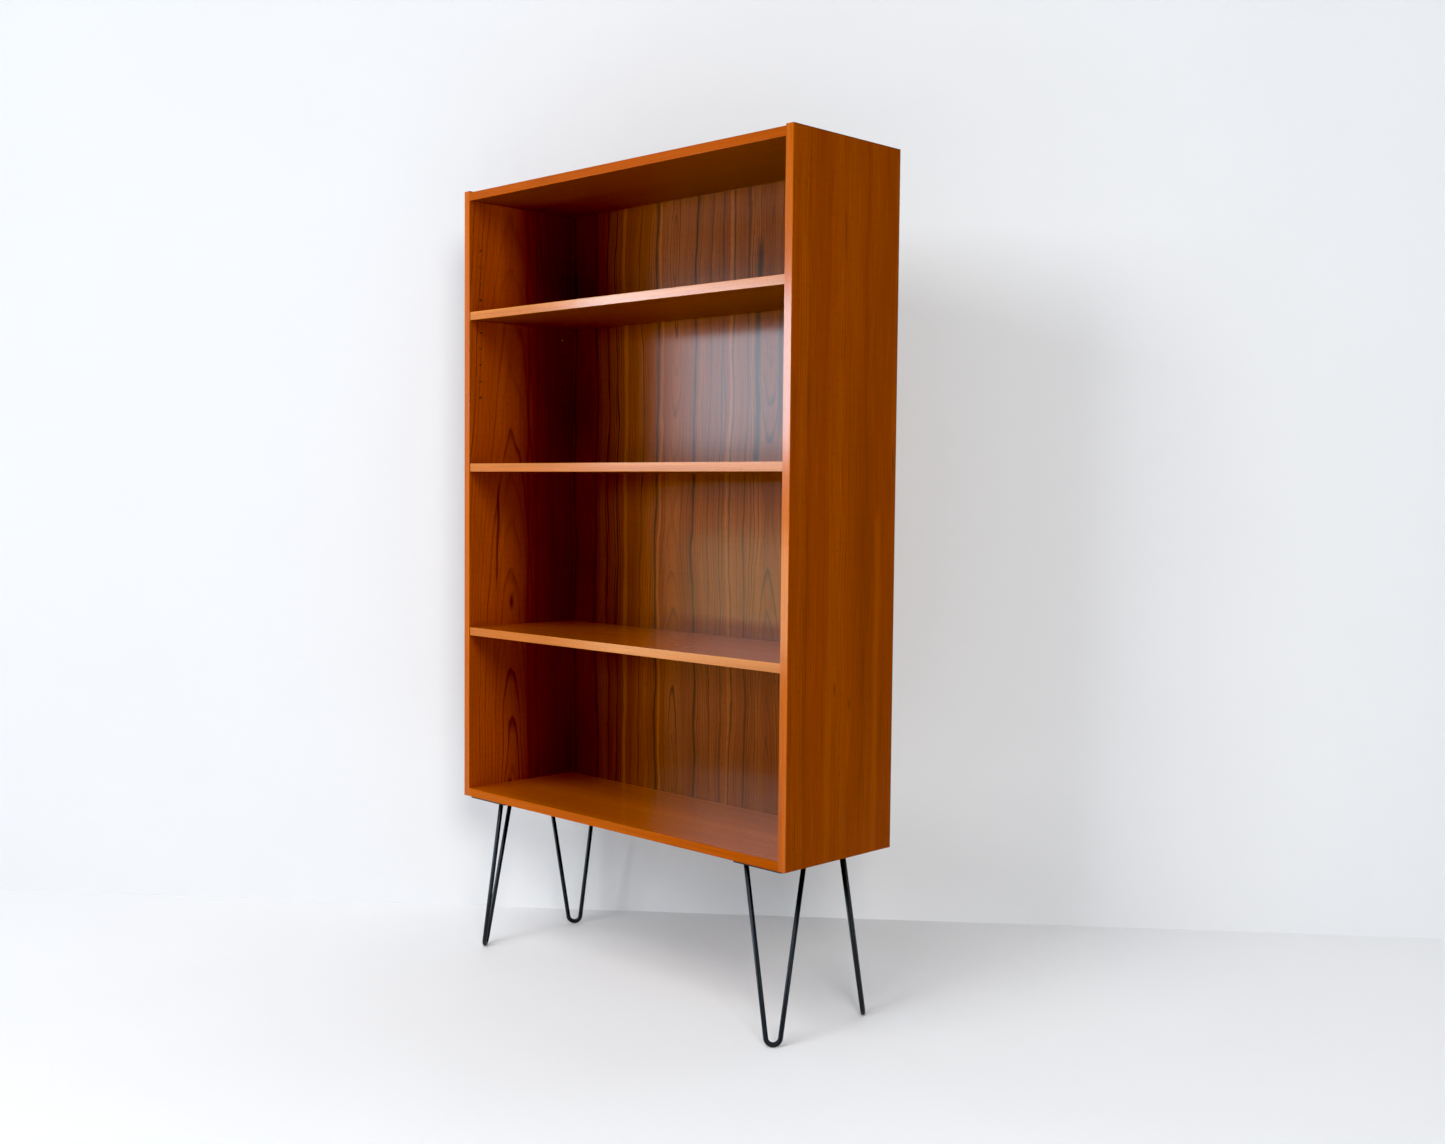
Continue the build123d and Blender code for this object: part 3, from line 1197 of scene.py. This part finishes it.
@dataclass
class Carcass:
    """The fixed box of sides, top, bottom and back, with its nails and dowels."""

    core: Chipboard = field(default_factory=Chipboard)
    nail_length: float = 20.0 * MM
    nail_shank: float = 0.8 * MM
    nail_head: float = 1.6 * MM
    nail_head_thick: float = 0.8 * MM
    nail_edge: float = 4.0 * MM
    nails_up: int = 9
    nails_across: int = 6

    def build(self) -> None:
        """Dresses the boards and makes the nails."""
        self._sides()
        self._levels()
        self._back()
        self._nails()
        dowel = Beech().material("beech_dowel")
        for node in ("top_dowels", "bottom_dowels"):
            dress(node, dowel)

    def _board(self, node: str, grain: Grain, figure: Figure, teak: Teak, seed: float) -> None:
        """Dresses one board: veneer outside, core at its raw edges.

        Args:
            node: The board.
            grain: How it lies.
            figure: How its veneer was cut.
            teak: Its colours and lacquer.
            seed: Sets its pattern apart.
        """
        low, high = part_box(node)
        axis = "XYZ".index(grain.value[2])
        veneer = Veneer(f"teak_{node}", grain, figure, teak, seed)
        surface = veneer.surface()
        if grain is Grain.SIDE:
            veneer.darken_arrises(surface, ((veneer.along, high.z), (veneer.across, high.y)))
            covered = high.z
            shade = veneer.OUTSIDE_SHADE if high.x < 0.0 else 0.0
        else:
            covered = FAR
            shade = veneer.UNDERSIDE_SHADE
        # Painted shade: the left side's outer face and the undersides of the top and bottom panels are
        # darkened and lose their coat.
        if shade > 0.0:
            veneer.darken_low_face(surface, low[axis], shade)
        # Painted shade: the left side is darkened towards its rear corner.
        if node == "side_left":
            veneer.darken_rear(surface)
        veneer.show_core(surface, low[axis], high[axis], self.core, covered)
        dress(node, veneer.material.finish(surface))

    def _sides(self) -> None:
        """The left side is crown cut, and the right side is straight."""
        low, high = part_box("side_left")
        base = low.z
        crown = Figure(
            centre=-0.030,
            leaf=0.40,
            ring=7.5 * MM,
            depth=11.0 * MM,
            taper=0.075,
            waist_at=base,
            wander=0.020,
            wave=12.0 * MM,
            streaks=(
                Streak(-0.064, 4.0 * MM, 1.0, start=base + 0.40, end=base + 0.64),
                Streak(0.012, 5.0 * MM, 0.45),
                Streak(0.034, 3.0 * MM, 0.55),
            ),
            knots=(
                Knot(-0.033, base + 0.018, 5.0 * MM, 1.3),
                Knot(-0.030, base + 0.385, 7.0 * MM, 3.2),
            ),
        )
        straight = Figure(
            centre=-0.42,
            leaf=2.0,
            ring=6.0 * MM,
            depth=30.0 * MM,
            wander=0.030,
            wave=9.0 * MM,
            streaks=(
                Streak(-0.017, 2.6 * MM, 0.9, start=base + 0.270, end=base + 0.306),
                Streak(0.017, 2.6 * MM, 0.9, start=base + 0.246, end=base + 0.274),
                Streak(0.129, 2.4 * MM, 0.8, start=base + 0.640, end=base + 0.702),
                Streak(-0.005, 2.0 * MM, 0.8, start=base + 0.980, end=base + 1.100),
                Streak(-0.088, 5.0 * MM, 0.25),
                Streak(0.052, 4.0 * MM, 0.30),
                Streak(0.084, 12.0 * MM, 0.50, pale=True, start=base - 0.1, end=base + 0.60),
            ),
        )
        self._board("side_left", Grain.SIDE, crown, TEAK_INSIDE, 2.0)
        self._board("side_right", Grain.SIDE, straight, TEAK_SIDE, 41.0)
        for node, seed in (("side_left_edging", 3.0), ("side_right_edging", 5.0)):
            lipping(node, Grain.UPRIGHT, TEAK_LIPPING, seed)

    def _levels(self) -> None:
        """The top and bottom panels, with the grain lengthwise."""
        figure = Figure(centre=0.30, leaf=2.0, ring=8.0 * MM, depth=40.0 * MM, wander=0.016)
        self._board("top_panel", Grain.SHELF, figure, TEAK_SHELF, 61.0)
        self._board("bottom_panel", Grain.SHELF, figure, TEAK_SHELF, 67.0)
        lipping("top_panel_edging", Grain.RAIL, TEAK_RAIL_LIPPING, 7.0)
        lipping("bottom_panel_edging", Grain.RAIL, TEAK_RAIL_LIPPING, 9.0)

    def _back(self) -> None:
        """The back: veneer leaves in front, plain plywood behind."""
        low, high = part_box("back_panel")
        waist = (low.z + high.z) / 2 - 0.02
        dark_lines = (
            (-0.408, 3.4, 0.70),
            (-0.340, 4.1, 0.80),
            (-0.303, 2.7, 0.70),
            (-0.277, 3.1, 0.75),
            (-0.205, 2.7, 0.60),
            (-0.160, 5.1, 0.90),
            (-0.052, 5.1, 0.92),
            (-0.009, 2.4, 0.65),
            (0.022, 2.7, 0.70),
            (0.050, 3.1, 0.75),
            (0.088, 3.1, 0.75),
            (0.212, 4.1, 0.80),
            (0.262, 2.7, 0.70),
            (0.318, 5.1, 0.85),
            (0.371, 3.4, 0.75),
        )
        lines = [Streak(at, width * MM, strength) for at, width, strength in dark_lines]
        lines.append(Streak(0.115, 12.0 * MM, 0.95, start=0.93, end=1.40))
        lines.append(Streak(0.172, 9.0 * MM, 0.85, start=1.00, end=1.26))
        for middle, width in ((-0.385, 75.0), (-0.252, 9.0), (-0.150, 5.0), (0.043, 6.0), (0.285, 8.0)):
            lines.append(Streak(middle, width * MM, 0.75, pale=True))
        figure = Figure(
            centre=-0.110,
            leaf=0.258,
            ring=6.5 * MM,
            depth=42.0 * MM,
            waist=0.085,
            waist_at=waist,
            wander=0.040,
            wave=20.0 * MM,
            streaks=tuple(lines),
        )
        veneer = Veneer("teak_back_panel", Grain.UPRIGHT, figure, TEAK_BACK, 81.0)
        surface = veneer.surface()
        self._plain_rear(veneer, surface, low.y)
        dress("back_panel", veneer.material.finish(surface))

    @staticmethod
    def _plain_rear(veneer: Veneer, surface: Surface, front: float) -> None:
        """Turns the rear of the back panel into plain plywood.

        Args:
            veneer: The veneer's shader.
            surface: The surface to change.
            front: The place of the panel's front face.
        """
        make, ply = veneer.material, PlainPly()
        behind = (veneer.through - front).over(Veneer.SKIN)
        wave = make.noise(veneer.across * 7.0, veneer.along * 1.1, 91.0, detail=2.0)
        figure = make.noise(veneer.across * 55.0 + wave * 9.0, veneer.along * 2.2, 93.0, detail=3.0)
        grit = make.noise(veneer.across * 800.0, veneer.along * 14.0, 95.0, detail=1.0)
        plain = make.tint(ply.body).towards(ply.pale, figure.ease(0.40, 0.62))
        plain = plain.towards(ply.dark, grit.ease(0.62, 0.78) * 0.5)
        surface.colour = surface.colour.towards(plain, behind)
        surface.roughness = surface.roughness * (1.0 - behind) + behind * ply.roughness
        surface.coat = (1.0 - behind) * surface.coat
        surface.metallic = (1.0 - behind) * surface.metallic

    def _nails(self) -> None:
        """The nails round the back, each with a shank, a point and a thin round head."""
        low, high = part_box("back_panel")
        shank, head = self.nail_shank, self.nail_head
        outline = [
            (0.05 * MM, -self.nail_length),
            (shank, -self.nail_length + 2.0 * MM),
            (shank, 0.0),
            (head, 0.1 * MM),
            (head, 0.55 * self.nail_head_thick),
            (0.75 * head, self.nail_head_thick),
        ]
        nail = turned("nail", outline, 14)
        shade_by_angle(nail)
        left, right = low.x + self.nail_edge, high.x - self.nail_edge
        foot, crown = low.z + self.nail_edge, high.z - self.nail_edge
        steps_up = [foot + (crown - foot) * n / (self.nails_up - 1) for n in range(self.nails_up)]
        steps = range(1, self.nails_across - 1)
        steps_across = [left + (right - left) * n / (self.nails_across - 1) for n in steps]
        places = [(x, high.y, z) for x in (left, right) for z in steps_up]
        places += [(x, high.y, z) for z in (foot, crown) for x in steps_across]
        values = {
            "Part": nail,
            "Tilt": (-math.pi / 2, 0.0, 0.0),
            "Spin": 0.0,
            "Seed": 1,
            "Material": NAIL_STEEL.material("nail_steel"),
        }
        piece = scatter_tree().shape("back_nails", dots("nail_places", places), values)
        bpy.data.objects.remove(nail)
        settle(piece, ["back_panel_nails"], "carcass")


def lipping(node: str, grain: Grain, teak: Teak, seed: float) -> None:
    """Dresses one strip of solid lipping.

    Args:
        node: The strip.
        grain: How it lies.
        teak: Its colours and lacquer.
        seed: Sets its pattern apart.
    """
    figure = Figure(centre=0.9, leaf=4.0, ring=3.2 * MM, depth=20.0 * MM, wander=0.006)
    veneer = Veneer(f"teak_{node}", grain, figure, teak, seed)
    dress(node, veneer.material.finish(veneer.surface()))
    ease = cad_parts[node].modifiers.new("eased_arrises", "BEVEL")
    ease.width = EASED_ARRIS
    ease.segments = 2
    ease.limit_method = "ANGLE"


# ---------------------------------------------------------------------------------------------
# The shelves
# ---------------------------------------------------------------------------------------------


@dataclass
class Shelf:
    """One loose shelf and its four pins.

    Attributes:
        name: Which shelf it is.
        pin_body: The body that its pins ride on.
        seed: Sets its pattern apart.
    """

    name: str
    pin_body: str
    seed: float
    core: Chipboard = field(default_factory=Chipboard)
    pin_proud: float = 9.0 * MM
    pin_chamfer: float = 0.6 * MM
    pin_sides: int = 28

    def build(self) -> None:
        """Dresses the board and its lipping, and makes the pins."""
        board = f"{self.name}_shelf_board"
        low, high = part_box(board)
        figure = Figure(
            centre=0.26, leaf=2.0, ring=8.0 * MM, depth=40.0 * MM, taper=0.02, wander=0.016
        )
        veneer = Veneer(f"teak_{board}", Grain.SHELF, figure, TEAK_SHELF, self.seed)
        surface = veneer.surface()
        # Painted shade: the shelf's underside is darkened and loses its coat.
        veneer.darken_low_face(surface, low.z, veneer.UNDERSIDE_SHADE)
        veneer.show_core(surface, low.z, high.z, self.core, FAR)
        dress(board, veneer.material.finish(surface))
        strip = f"{self.name}_shelf_edging"
        lipping(strip, Grain.RAIL, TEAK_SHELF_LIPPING, self.seed + 1.0)
        self._pins()

    def _pins(self) -> None:
        """The four pins, with chamfered ends."""
        node = f"{self.name}_shelf_pins"
        low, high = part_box(node)
        radius = (high.z - low.z) / 2
        inner_left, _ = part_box("bottom_panel")
        length = (inner_left.x - low.x) + self.pin_proud
        half, chamfer = length / 2, self.pin_chamfer
        outline = [
            (radius - chamfer, -half),
            (radius, chamfer - half),
            (radius, half - chamfer),
            (radius - chamfer, half),
        ]
        pin = turned("pin", outline, self.pin_sides)
        shade_by_angle(pin)
        places = [
            (x, y, (low.z + high.z) / 2)
            for x in (low.x + half, high.x - half)
            for y in (low.y + radius, high.y - radius)
        ]
        values = {
            "Part": pin,
            "Tilt": (0.0, math.pi / 2, 0.0),
            "Spin": 0.0,
            "Seed": 1,
            "Material": PIN_STEEL.material(f"{self.name}_pin_steel"),
        }
        made = scatter_tree().shape(f"{self.name}_pins", dots("pin_places", places), values)
        bpy.data.objects.remove(pin)
        settle(made, [node], self.pin_body)


# ---------------------------------------------------------------------------------------------
# The legs
# ---------------------------------------------------------------------------------------------


@dataclass
class HairpinLeg:
    """One bent rod, its welded plate and its screws.

    Places are measured inwards from the outer corner of the leg's plate.

    Attributes:
        name: The leg's place, as in the frame's node names.
        seed: Sets the turn of its screws.
    """

    name: str
    seed: int
    rod_radius: float = 4.25 * MM
    bend_radius: float = 12.5 * MM
    bend_steps: int = 28
    inner_top: tuple[float, float] = (90.0 * MM, 10.0 * MM)
    outer_top: tuple[float, float] = (26.0 * MM, 85.0 * MM)
    foot: tuple[float, float] = (29.0 * MM, 16.0 * MM)
    screw_places: tuple[tuple[float, float], ...] = (
        (16.0 * MM, 14.0 * MM),
        (58.0 * MM, 12.0 * MM),
        (14.0 * MM, 56.0 * MM),
        (54.0 * MM, 46.0 * MM),
    )
    rod_sides: int = 40
    weld_ring: float = 4.6 * MM
    weld_bead: float = 1.5 * MM
    weld_ripple: float = 0.9 * MM
    screw_head: float = 4.0 * MM
    screw_head_high: float = 2.4 * MM
    screw_thread: float = 1.9 * MM
    screw_core: float = 1.45 * MM
    screw_neck: float = 4.0 * MM
    screw_length: float = 14.9 * MM
    thread_pitch: float = 1.4 * MM
    thread_turns: int = 8
    thread_taper: float = 0.06
    slot_width: float = 1.0 * MM
    slot_depth: float = 1.1 * MM

    def __post_init__(self) -> None:
        """Finds the plate, its outer corner and the ways inwards."""
        low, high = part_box(f"leg_{self.name}_plate")
        self.under, self.above = low.z, high.z
        right, rear = "right" in self.name, "rear" in self.name
        self.corner = Vector((high.x if right else low.x, high.y if rear else low.y, 0.0))
        self.inwards = Vector((-1.0 if right else 1.0, -1.0 if rear else 1.0, 0.0))

    def _at(self, place: tuple[float, float], height: float) -> Vector:
        """A point measured inwards from the plate's corner.

        Args:
            place: How far in along X and along Y.
            height: Its height.

        Returns:
            The point in the frame.
        """
        x = self.corner.x + self.inwards.x * place[0]
        y = self.corner.y + self.inwards.y * place[1]
        return Vector((x, y, height))

    def _route(self) -> list[Vector]:
        """The rod's centreline: down one straight run, round the foot and up the other."""
        inner = self._at(self.inner_top, self.above)
        outer = self._at(self.outer_top, self.above)
        foot = self._at(self.foot, self.rod_radius)
        across = (outer - inner).normalized()
        middle = (inner + outer) / 2
        shift = (foot - middle).dot(across)
        down = foot - middle - across * shift
        fall = down.length
        drop = down / fall
        half = (outer - inner).length / 2
        centre = (shift, fall - self.bend_radius)
        start = self._touch(half, shift, centre[1])
        end = math.pi - self._touch(half, -shift, centre[1])
        turns = [start + (end - start) * n / self.bend_steps for n in range(self.bend_steps + 1)]
        bend = [
            middle
            + across * (centre[0] + self.bend_radius * math.cos(turn))
            + drop * (centre[1] + self.bend_radius * math.sin(turn))
            for turn in turns
        ]
        return [inner, *bend, outer]

    def _touch(self, half: float, aside: float, fall: float) -> float:
        """The angle at which a straight run meets the bend.

        Args:
            half: How far the run starts from the middle of the leg's top.
            aside: How far the bend's centre is from that middle, away from the run.
            fall: How far the bend's centre is below the top.

        Returns:
            The angle about the centre, from the side away from the run towards down.
        """
        reach = -half - aside
        to_start = math.atan2(-fall, reach)
        return to_start - math.acos(self.bend_radius / math.hypot(reach, fall)) + 2.0 * math.pi

    def build(self) -> None:
        """Makes the rod, its weld beads and the screws, and dresses the plate."""
        enamel = BLACK_ENAMEL.material(f"{self.name}_enamel")
        path = centreline("rod_route", self._route())
        values = {"Radius": self.rod_radius, "Sides": self.rod_sides, "Material": enamel}
        rod = bar_tree().shape(f"leg_{self.name}_bent_rod", path, values)
        self._trim(rod)
        settle(rod, [f"leg_{self.name}_rod"], "carcass")
        tops = [self._at(place, self.under) for place in (self.inner_top, self.outer_top)]
        values = {
            "Ring": self.weld_ring,
            "Bead": self.weld_bead,
            "Ripple": self.weld_ripple,
            "Material": enamel,
        }
        beads = bead_tree().shape(f"leg_{self.name}_welds", dots("tops", tops), values)
        self._trim(beads)
        settle(beads, [], "carcass")
        dress(f"leg_{self.name}_plate", enamel)
        self._screws()

    def _trim(self, piece: bpy.types.Object) -> None:
        """Cuts a piece level with the underside of the plate, and closes it.

        Args:
            piece: The piece.
        """
        shape = bmesh.new()
        shape.from_mesh(piece.data)
        bmesh.ops.remove_doubles(shape, verts=shape.verts, dist=1e-6)
        everything = list(shape.verts) + list(shape.edges) + list(shape.faces)
        cut = bmesh.ops.bisect_plane(
            shape,
            geom=everything,
            plane_co=(0.0, 0.0, self.under),
            plane_no=(0.0, 0.0, 1.0),
            clear_outer=True,
        )
        rim = [item for item in cut["geom_cut"] if isinstance(item, bmesh.types.BMEdge)]
        bmesh.ops.holes_fill(shape, edges=rim)
        for face in shape.faces:
            face.smooth = abs(face.normal.z) < 0.99
        shape.to_mesh(piece.data)
        shape.free()

    def _screws(self) -> None:
        """The round-head screws, each with a slot and a threaded shank."""
        head, high, pitch = self.screw_head, self.screw_head_high, self.thread_pitch
        crown = [
            (head * math.cos(math.radians(angle)), -high * math.sin(math.radians(angle)))
            for angle in range(80, -1, -10)
        ]
        outline = [(max(radius, 0.2 * MM), height) for radius, height in crown]
        outline.append((self.screw_thread, 0.05 * MM))
        for step in range(self.thread_turns):
            height = self.screw_neck + step * pitch
            if height + pitch < self.screw_length:
                share = 1.0 - self.thread_taper * step
                outline.append((self.screw_core * share, height))
                outline.append((self.screw_thread * share, height + pitch / 2))
        outline.append((0.15 * MM, self.screw_length))
        screw = turned("screw", outline, 28)
        self._slot(screw)
        shade_by_angle(screw)
        places = [self._at(place, self.under) for place in self.screw_places]
        values = {
            "Part": screw,
            "Tilt": (0.0, 0.0, 0.0),
            "Spin": math.pi,
            "Seed": self.seed,
            "Material": BLACK_SCREW.material(f"{self.name}_screw"),
        }
        made = scatter_tree().shape(f"leg_{self.name}_slotted_screws", dots("holes", places), values)
        bpy.data.objects.remove(screw)
        settle(made, [f"leg_{self.name}_screws"], "carcass")

    def _slot(self, screw: bpy.types.Object) -> None:
        """Cuts a slot across a screw's head.

        Args:
            screw: The screw, with its head down.
        """
        mesh = bpy.data.meshes.new("slot")
        shape = bmesh.new()
        size = Matrix.Diagonal((2.4 * self.screw_head, self.slot_width, 2 * self.slot_depth, 1.0))
        place = Matrix.Translation((0.0, 0.0, -self.screw_head_high))
        bmesh.ops.create_cube(shape, size=1.0, matrix=place @ size)
        shape.to_mesh(mesh)
        shape.free()
        cutter = bpy.data.objects.new("slot", mesh)
        bpy.context.scene.collection.objects.link(cutter)
        modifier = screw.modifiers.new("slot", "BOOLEAN")
        modifier.operation = "DIFFERENCE"
        modifier.solver = "EXACT"
        modifier.object = cutter
        bpy.context.view_layer.update()
        depsgraph = bpy.context.evaluated_depsgraph_get()
        cut = bpy.data.meshes.new_from_object(screw.evaluated_get(depsgraph), depsgraph=depsgraph)
        screw.modifiers.remove(modifier)
        screw.data = cut
        bpy.data.objects.remove(cutter)


# ---------------------------------------------------------------------------------------------
# The studio
# ---------------------------------------------------------------------------------------------


class Lights(Enum):
    """What a lamp lights."""

    NOT_WALL = "everything but the wall"
    BOOKCASE = "everything but the wall and the floor"
    BACKDROP = "the wall and the floor"


@dataclass(frozen=True)
class Lamp:
    """A soft rectangular light.

    Attributes:
        name: Its name.
        at: Where it is.
        towards: The point that it faces.
        size: Its width and height in metres.
        radiance: How bright its surface is.
        colour: Its colour.
        lights: What it lights.
    """

    name: str
    at: Point
    towards: Point
    size: tuple[float, float]
    radiance: float
    colour: Colour
    lights: Lights


LAMPS = (
    Lamp(
        name="window",
        at=(-1.70, -2.45, 1.34),
        towards=(0.10, 0.0, 1.1),
        size=(1.5, 0.58),
        radiance=26.0,
        colour=rgb(0.69, 0.90, 1.08),
        lights=Lights.BOOKCASE,
    ),
    Lamp(
        name="window_sill",
        at=(-1.65, -2.45, 0.52),
        towards=(0.10, 0.0, 0.8),
        size=(1.5, 0.44),
        radiance=10.0,
        colour=rgb(1.0, 0.88, 0.55),
        lights=Lights.BOOKCASE,
    ),
    Lamp(
        name="side_window",
        at=(4.0, -0.62, 1.50),
        towards=(0.0, 0.0, 1.0),
        size=(0.38, 1.0),
        radiance=32.0,
        colour=rgb(1.0, 0.97, 0.92),
        lights=Lights.BOOKCASE,
    ),
    Lamp(
        name="ceiling",
        at=(0.6, -2.6, 4.0),
        towards=(0.0, -0.3, 0.5),
        size=(3.0, 2.0),
        radiance=5.2,
        colour=rgb(1.0, 0.99, 0.97),
        lights=Lights.NOT_WALL,
    ),
    Lamp(
        name="wall_wash",
        at=(4.4, -3.2, 2.8),
        towards=(-0.2, 0.5, 0.9),
        size=(1.6, 1.6),
        radiance=17.0,
        colour=rgb(1.0, 0.985, 0.955),
        lights=Lights.BACKDROP,
    ),
    Lamp(
        name="far_window",
        at=(0.2, -6.4, 2.8),
        towards=(1.4, 0.6, 0.8),
        size=(2.2, 2.2),
        radiance=12.0,
        colour=rgb(0.92, 0.97, 1.0),
        lights=Lights.BACKDROP,
    ),
)


@dataclass
class Studio:
    """The floor, the wall behind, the soft lights and the camera.

    Attributes:
        lamps: The soft lights.
        room_colour: The colour of the even light all round.
        room_strength: How strong that is.
        black_level: How much red, green and blue are cut at the dark end of the picture's tones.
        camera_at: Where the camera is.
        camera_turn: How far it is turned to the left of the way inwards, in degrees.
        camera_down: How far it looks down, in degrees.
        camera_roll: How far it leans, in degrees.
        focal_length: Its focal length in millimetres, on a 36 mm sensor.
        wall_through: A point on the floor that the wall stands over.
        wall_turn: How far the wall is turned from the back panel, in degrees.
        wall_size: The wall's width and height.
        floor_size: The floor's width and depth.
        paint: The colour of the wall and the floor.
    """

    lamps: tuple[Lamp, ...] = LAMPS
    room_colour: Colour = rgb(0.72, 0.84, 1.0)
    room_strength: float = 0.22
    black_level: tuple[float, float, float] = (0.009, 0.0085, 0.0150)

    camera_at: Point = (2.098, -1.966, 0.923)
    camera_turn: float = 44.68
    camera_down: float = 3.13
    camera_roll: float = 0.54
    focal_length: float = 38.65
    wall_through: tuple[float, float] = (-0.321, 0.318)
    wall_turn: float = 39.56
    wall_size: tuple[float, float] = (16.0, 6.0)
    floor_size: float = 24.0
    paint: Colour = rgb(0.86, 0.86, 0.87)

    def __post_init__(self) -> None:
        """Makes the collections that say what a lamp lights."""
        self.lit = {lights: bpy.data.collections.new(lights.name.lower()) for lights in Lights}

    def build(self) -> None:
        """Makes everything round the bookcase."""
        self._floor()
        self._wall()
        self._lights()
        self._camera()
        view = bpy.context.scene.view_settings
        view.view_transform = "Standard"
        view.use_curve_mapping = True
        view.curve_mapping.black_level = self.black_level
        view.curve_mapping.update()

    def _sheet(
        self, name: str, corners: Sequence[Point], material: bpy.types.Material
    ) -> bpy.types.Object:
        """A flat sheet of the studio.

        Args:
            name: Its name.
            corners: Its four corners.
            material: Its material.

        Returns:
            The sheet.
        """
        mesh = bpy.data.meshes.new(name)
        mesh.from_pydata([Vector(corner) for corner in corners], [], [(0, 1, 2, 3)])
        mesh.materials.append(material)
        made = bpy.data.objects.new(name, mesh)
        bpy.context.scene.collection.objects.link(made)
        return made

    def _paint(self, name: str, one_sided: bool) -> bpy.types.Material:
        """Plain pale paint.

        Args:
            name: The material's name.
            one_sided: Whether it can be seen through from behind.

        Returns:
            The material.
        """
        make = Material(name)
        place = make.place()
        soft = make.noise(place["X"] * 3.0, place["Y"] * 3.0, place["Z"] * 3.0, detail=3.0)
        colour = make.tint(self.paint).lit(soft * 0.03 + 0.985)
        material = make.finish(Surface(colour, 0.6, soft, 0.02 * MM, specular=0.3))
        if one_sided:
            shader = next(n for n in make.tree.nodes if n.type == "BSDF_PRINCIPLED")
            output = next(n for n in make.tree.nodes if n.type == "OUTPUT_MATERIAL")
            behind = make.node("ShaderNodeNewGeometry", output="Backfacing")
            clear = make.node("ShaderNodeBsdfTransparent")
            paint = Link(make, shader.outputs[0])
            mixed = make.node("ShaderNodeMixShader", inputs={0: behind, 1: paint, 2: clear})
            make.tree.links.new(mixed.socket, output.inputs["Surface"])
        return material

    def _floor(self) -> None:
        """The pale floor."""
        half = self.floor_size / 2
        corners = [(-half, -half, 0.0), (half, -half, 0.0), (half, half, 0.0), (-half, half, 0.0)]
        floor = self._sheet("floor", corners, self._paint("floor_paint", one_sided=False))
        self._sort(floor, (Lights.BOOKCASE,))

    def _wall(self) -> None:
        """The pale wall behind the bookcase, which can be seen through from behind."""
        turn = math.radians(self.wall_turn)
        along = Vector((math.cos(turn), math.sin(turn), 0.0))
        foot = Vector((*self.wall_through, 0.0))
        half, high = self.wall_size[0] / 2, Vector((0.0, 0.0, self.wall_size[1]))
        left, right = foot - along * half, foot + along * half
        corners = [left, right, right + high, left + high]
        wall = self._sheet("wall", corners, self._paint("wall_paint", one_sided=True))
        self._sort(wall, (Lights.BOOKCASE, Lights.NOT_WALL))

    def _sort(self, sheet: bpy.types.Object, keeping_off: Iterable[Lights]) -> None:
        """Sets which lamps light a sheet of the studio.

        Args:
            sheet: The sheet.
            keeping_off: The kinds of lamp that don't light it.
        """
        self.lit[Lights.BACKDROP].objects.link(sheet)
        for lights in keeping_off:
            self.lit[lights].objects.link(sheet)
            self.lit[lights].collection_objects[-1].light_linking.link_state = "EXCLUDE"

    def _light(self, lamp: Lamp) -> None:
        """A soft rectangular light that the camera doesn't see.

        Args:
            lamp: Its place, size, strength and colour.
        """
        data = bpy.data.lights.new(lamp.name, "AREA")
        data.shape = "RECTANGLE"
        data.size, data.size_y = lamp.size
        data.energy = lamp.radiance * math.pi * lamp.size[0] * lamp.size[1]
        data.color = lamp.colour[:3]
        made = bpy.data.objects.new(lamp.name, data)
        made.location = lamp.at
        facing = Vector(lamp.towards) - Vector(lamp.at)
        made.rotation_euler = facing.to_track_quat("-Z", "Y").to_euler()
        made.visible_camera = False
        made.light_linking.receiver_collection = self.lit[lamp.lights]
        bpy.context.scene.collection.objects.link(made)

    def _lights(self) -> None:
        """The lamps, and an even light from the room all round."""
        for lamp in self.lamps:
            self._light(lamp)
        world = bpy.data.worlds.new("room")
        world.use_nodes = True
        background = world.node_tree.nodes["Background"]
        background.inputs["Color"].default_value = self.room_colour
        background.inputs["Strength"].default_value = self.room_strength
        bpy.context.scene.world = world

    def _camera(self) -> None:
        """The camera, slightly above the middle, looking down a little."""
        turn, down, roll = (
            math.radians(angle) for angle in (self.camera_turn, self.camera_down, self.camera_roll)
        )
        ahead = Vector(
            (-math.sin(turn) * math.cos(down), math.cos(turn) * math.cos(down), -math.sin(down))
        )
        level = Vector((math.cos(turn), math.sin(turn), 0.0))
        upright = level.cross(ahead)
        right = level * math.cos(roll) + upright * math.sin(roll)
        up = upright * math.cos(roll) - level * math.sin(roll)
        data = bpy.data.cameras.new("camera")
        data.sensor_width = 36.0
        data.lens = self.focal_length
        camera = bpy.data.objects.new("camera", data)
        rotation = Matrix((right, up, -ahead)).transposed()
        camera.matrix_world = Matrix.Translation(self.camera_at) @ rotation.to_4x4()
        bpy.context.scene.collection.objects.link(camera)
        bpy.context.scene.camera = camera


# ---------------------------------------------------------------------------------------------


def main() -> None:
    """Builds the bookcase's looks in order."""
    logging.basicConfig(level=logging.INFO, format="%(name)s: %(message)s")
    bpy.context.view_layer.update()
    Carcass().build()
    Shelf("upper", "upper_shelf_support", 101.0).build()
    Shelf("middle", "carcass", 131.0).build()
    Shelf("lower", "carcass", 151.0).build()
    for seed, name in enumerate(("front_left", "front_right", "rear_left", "rear_right"), start=1):
        HairpinLeg(name, seed).build()
    Studio().build()


if __name__ == "__main__":
    main()
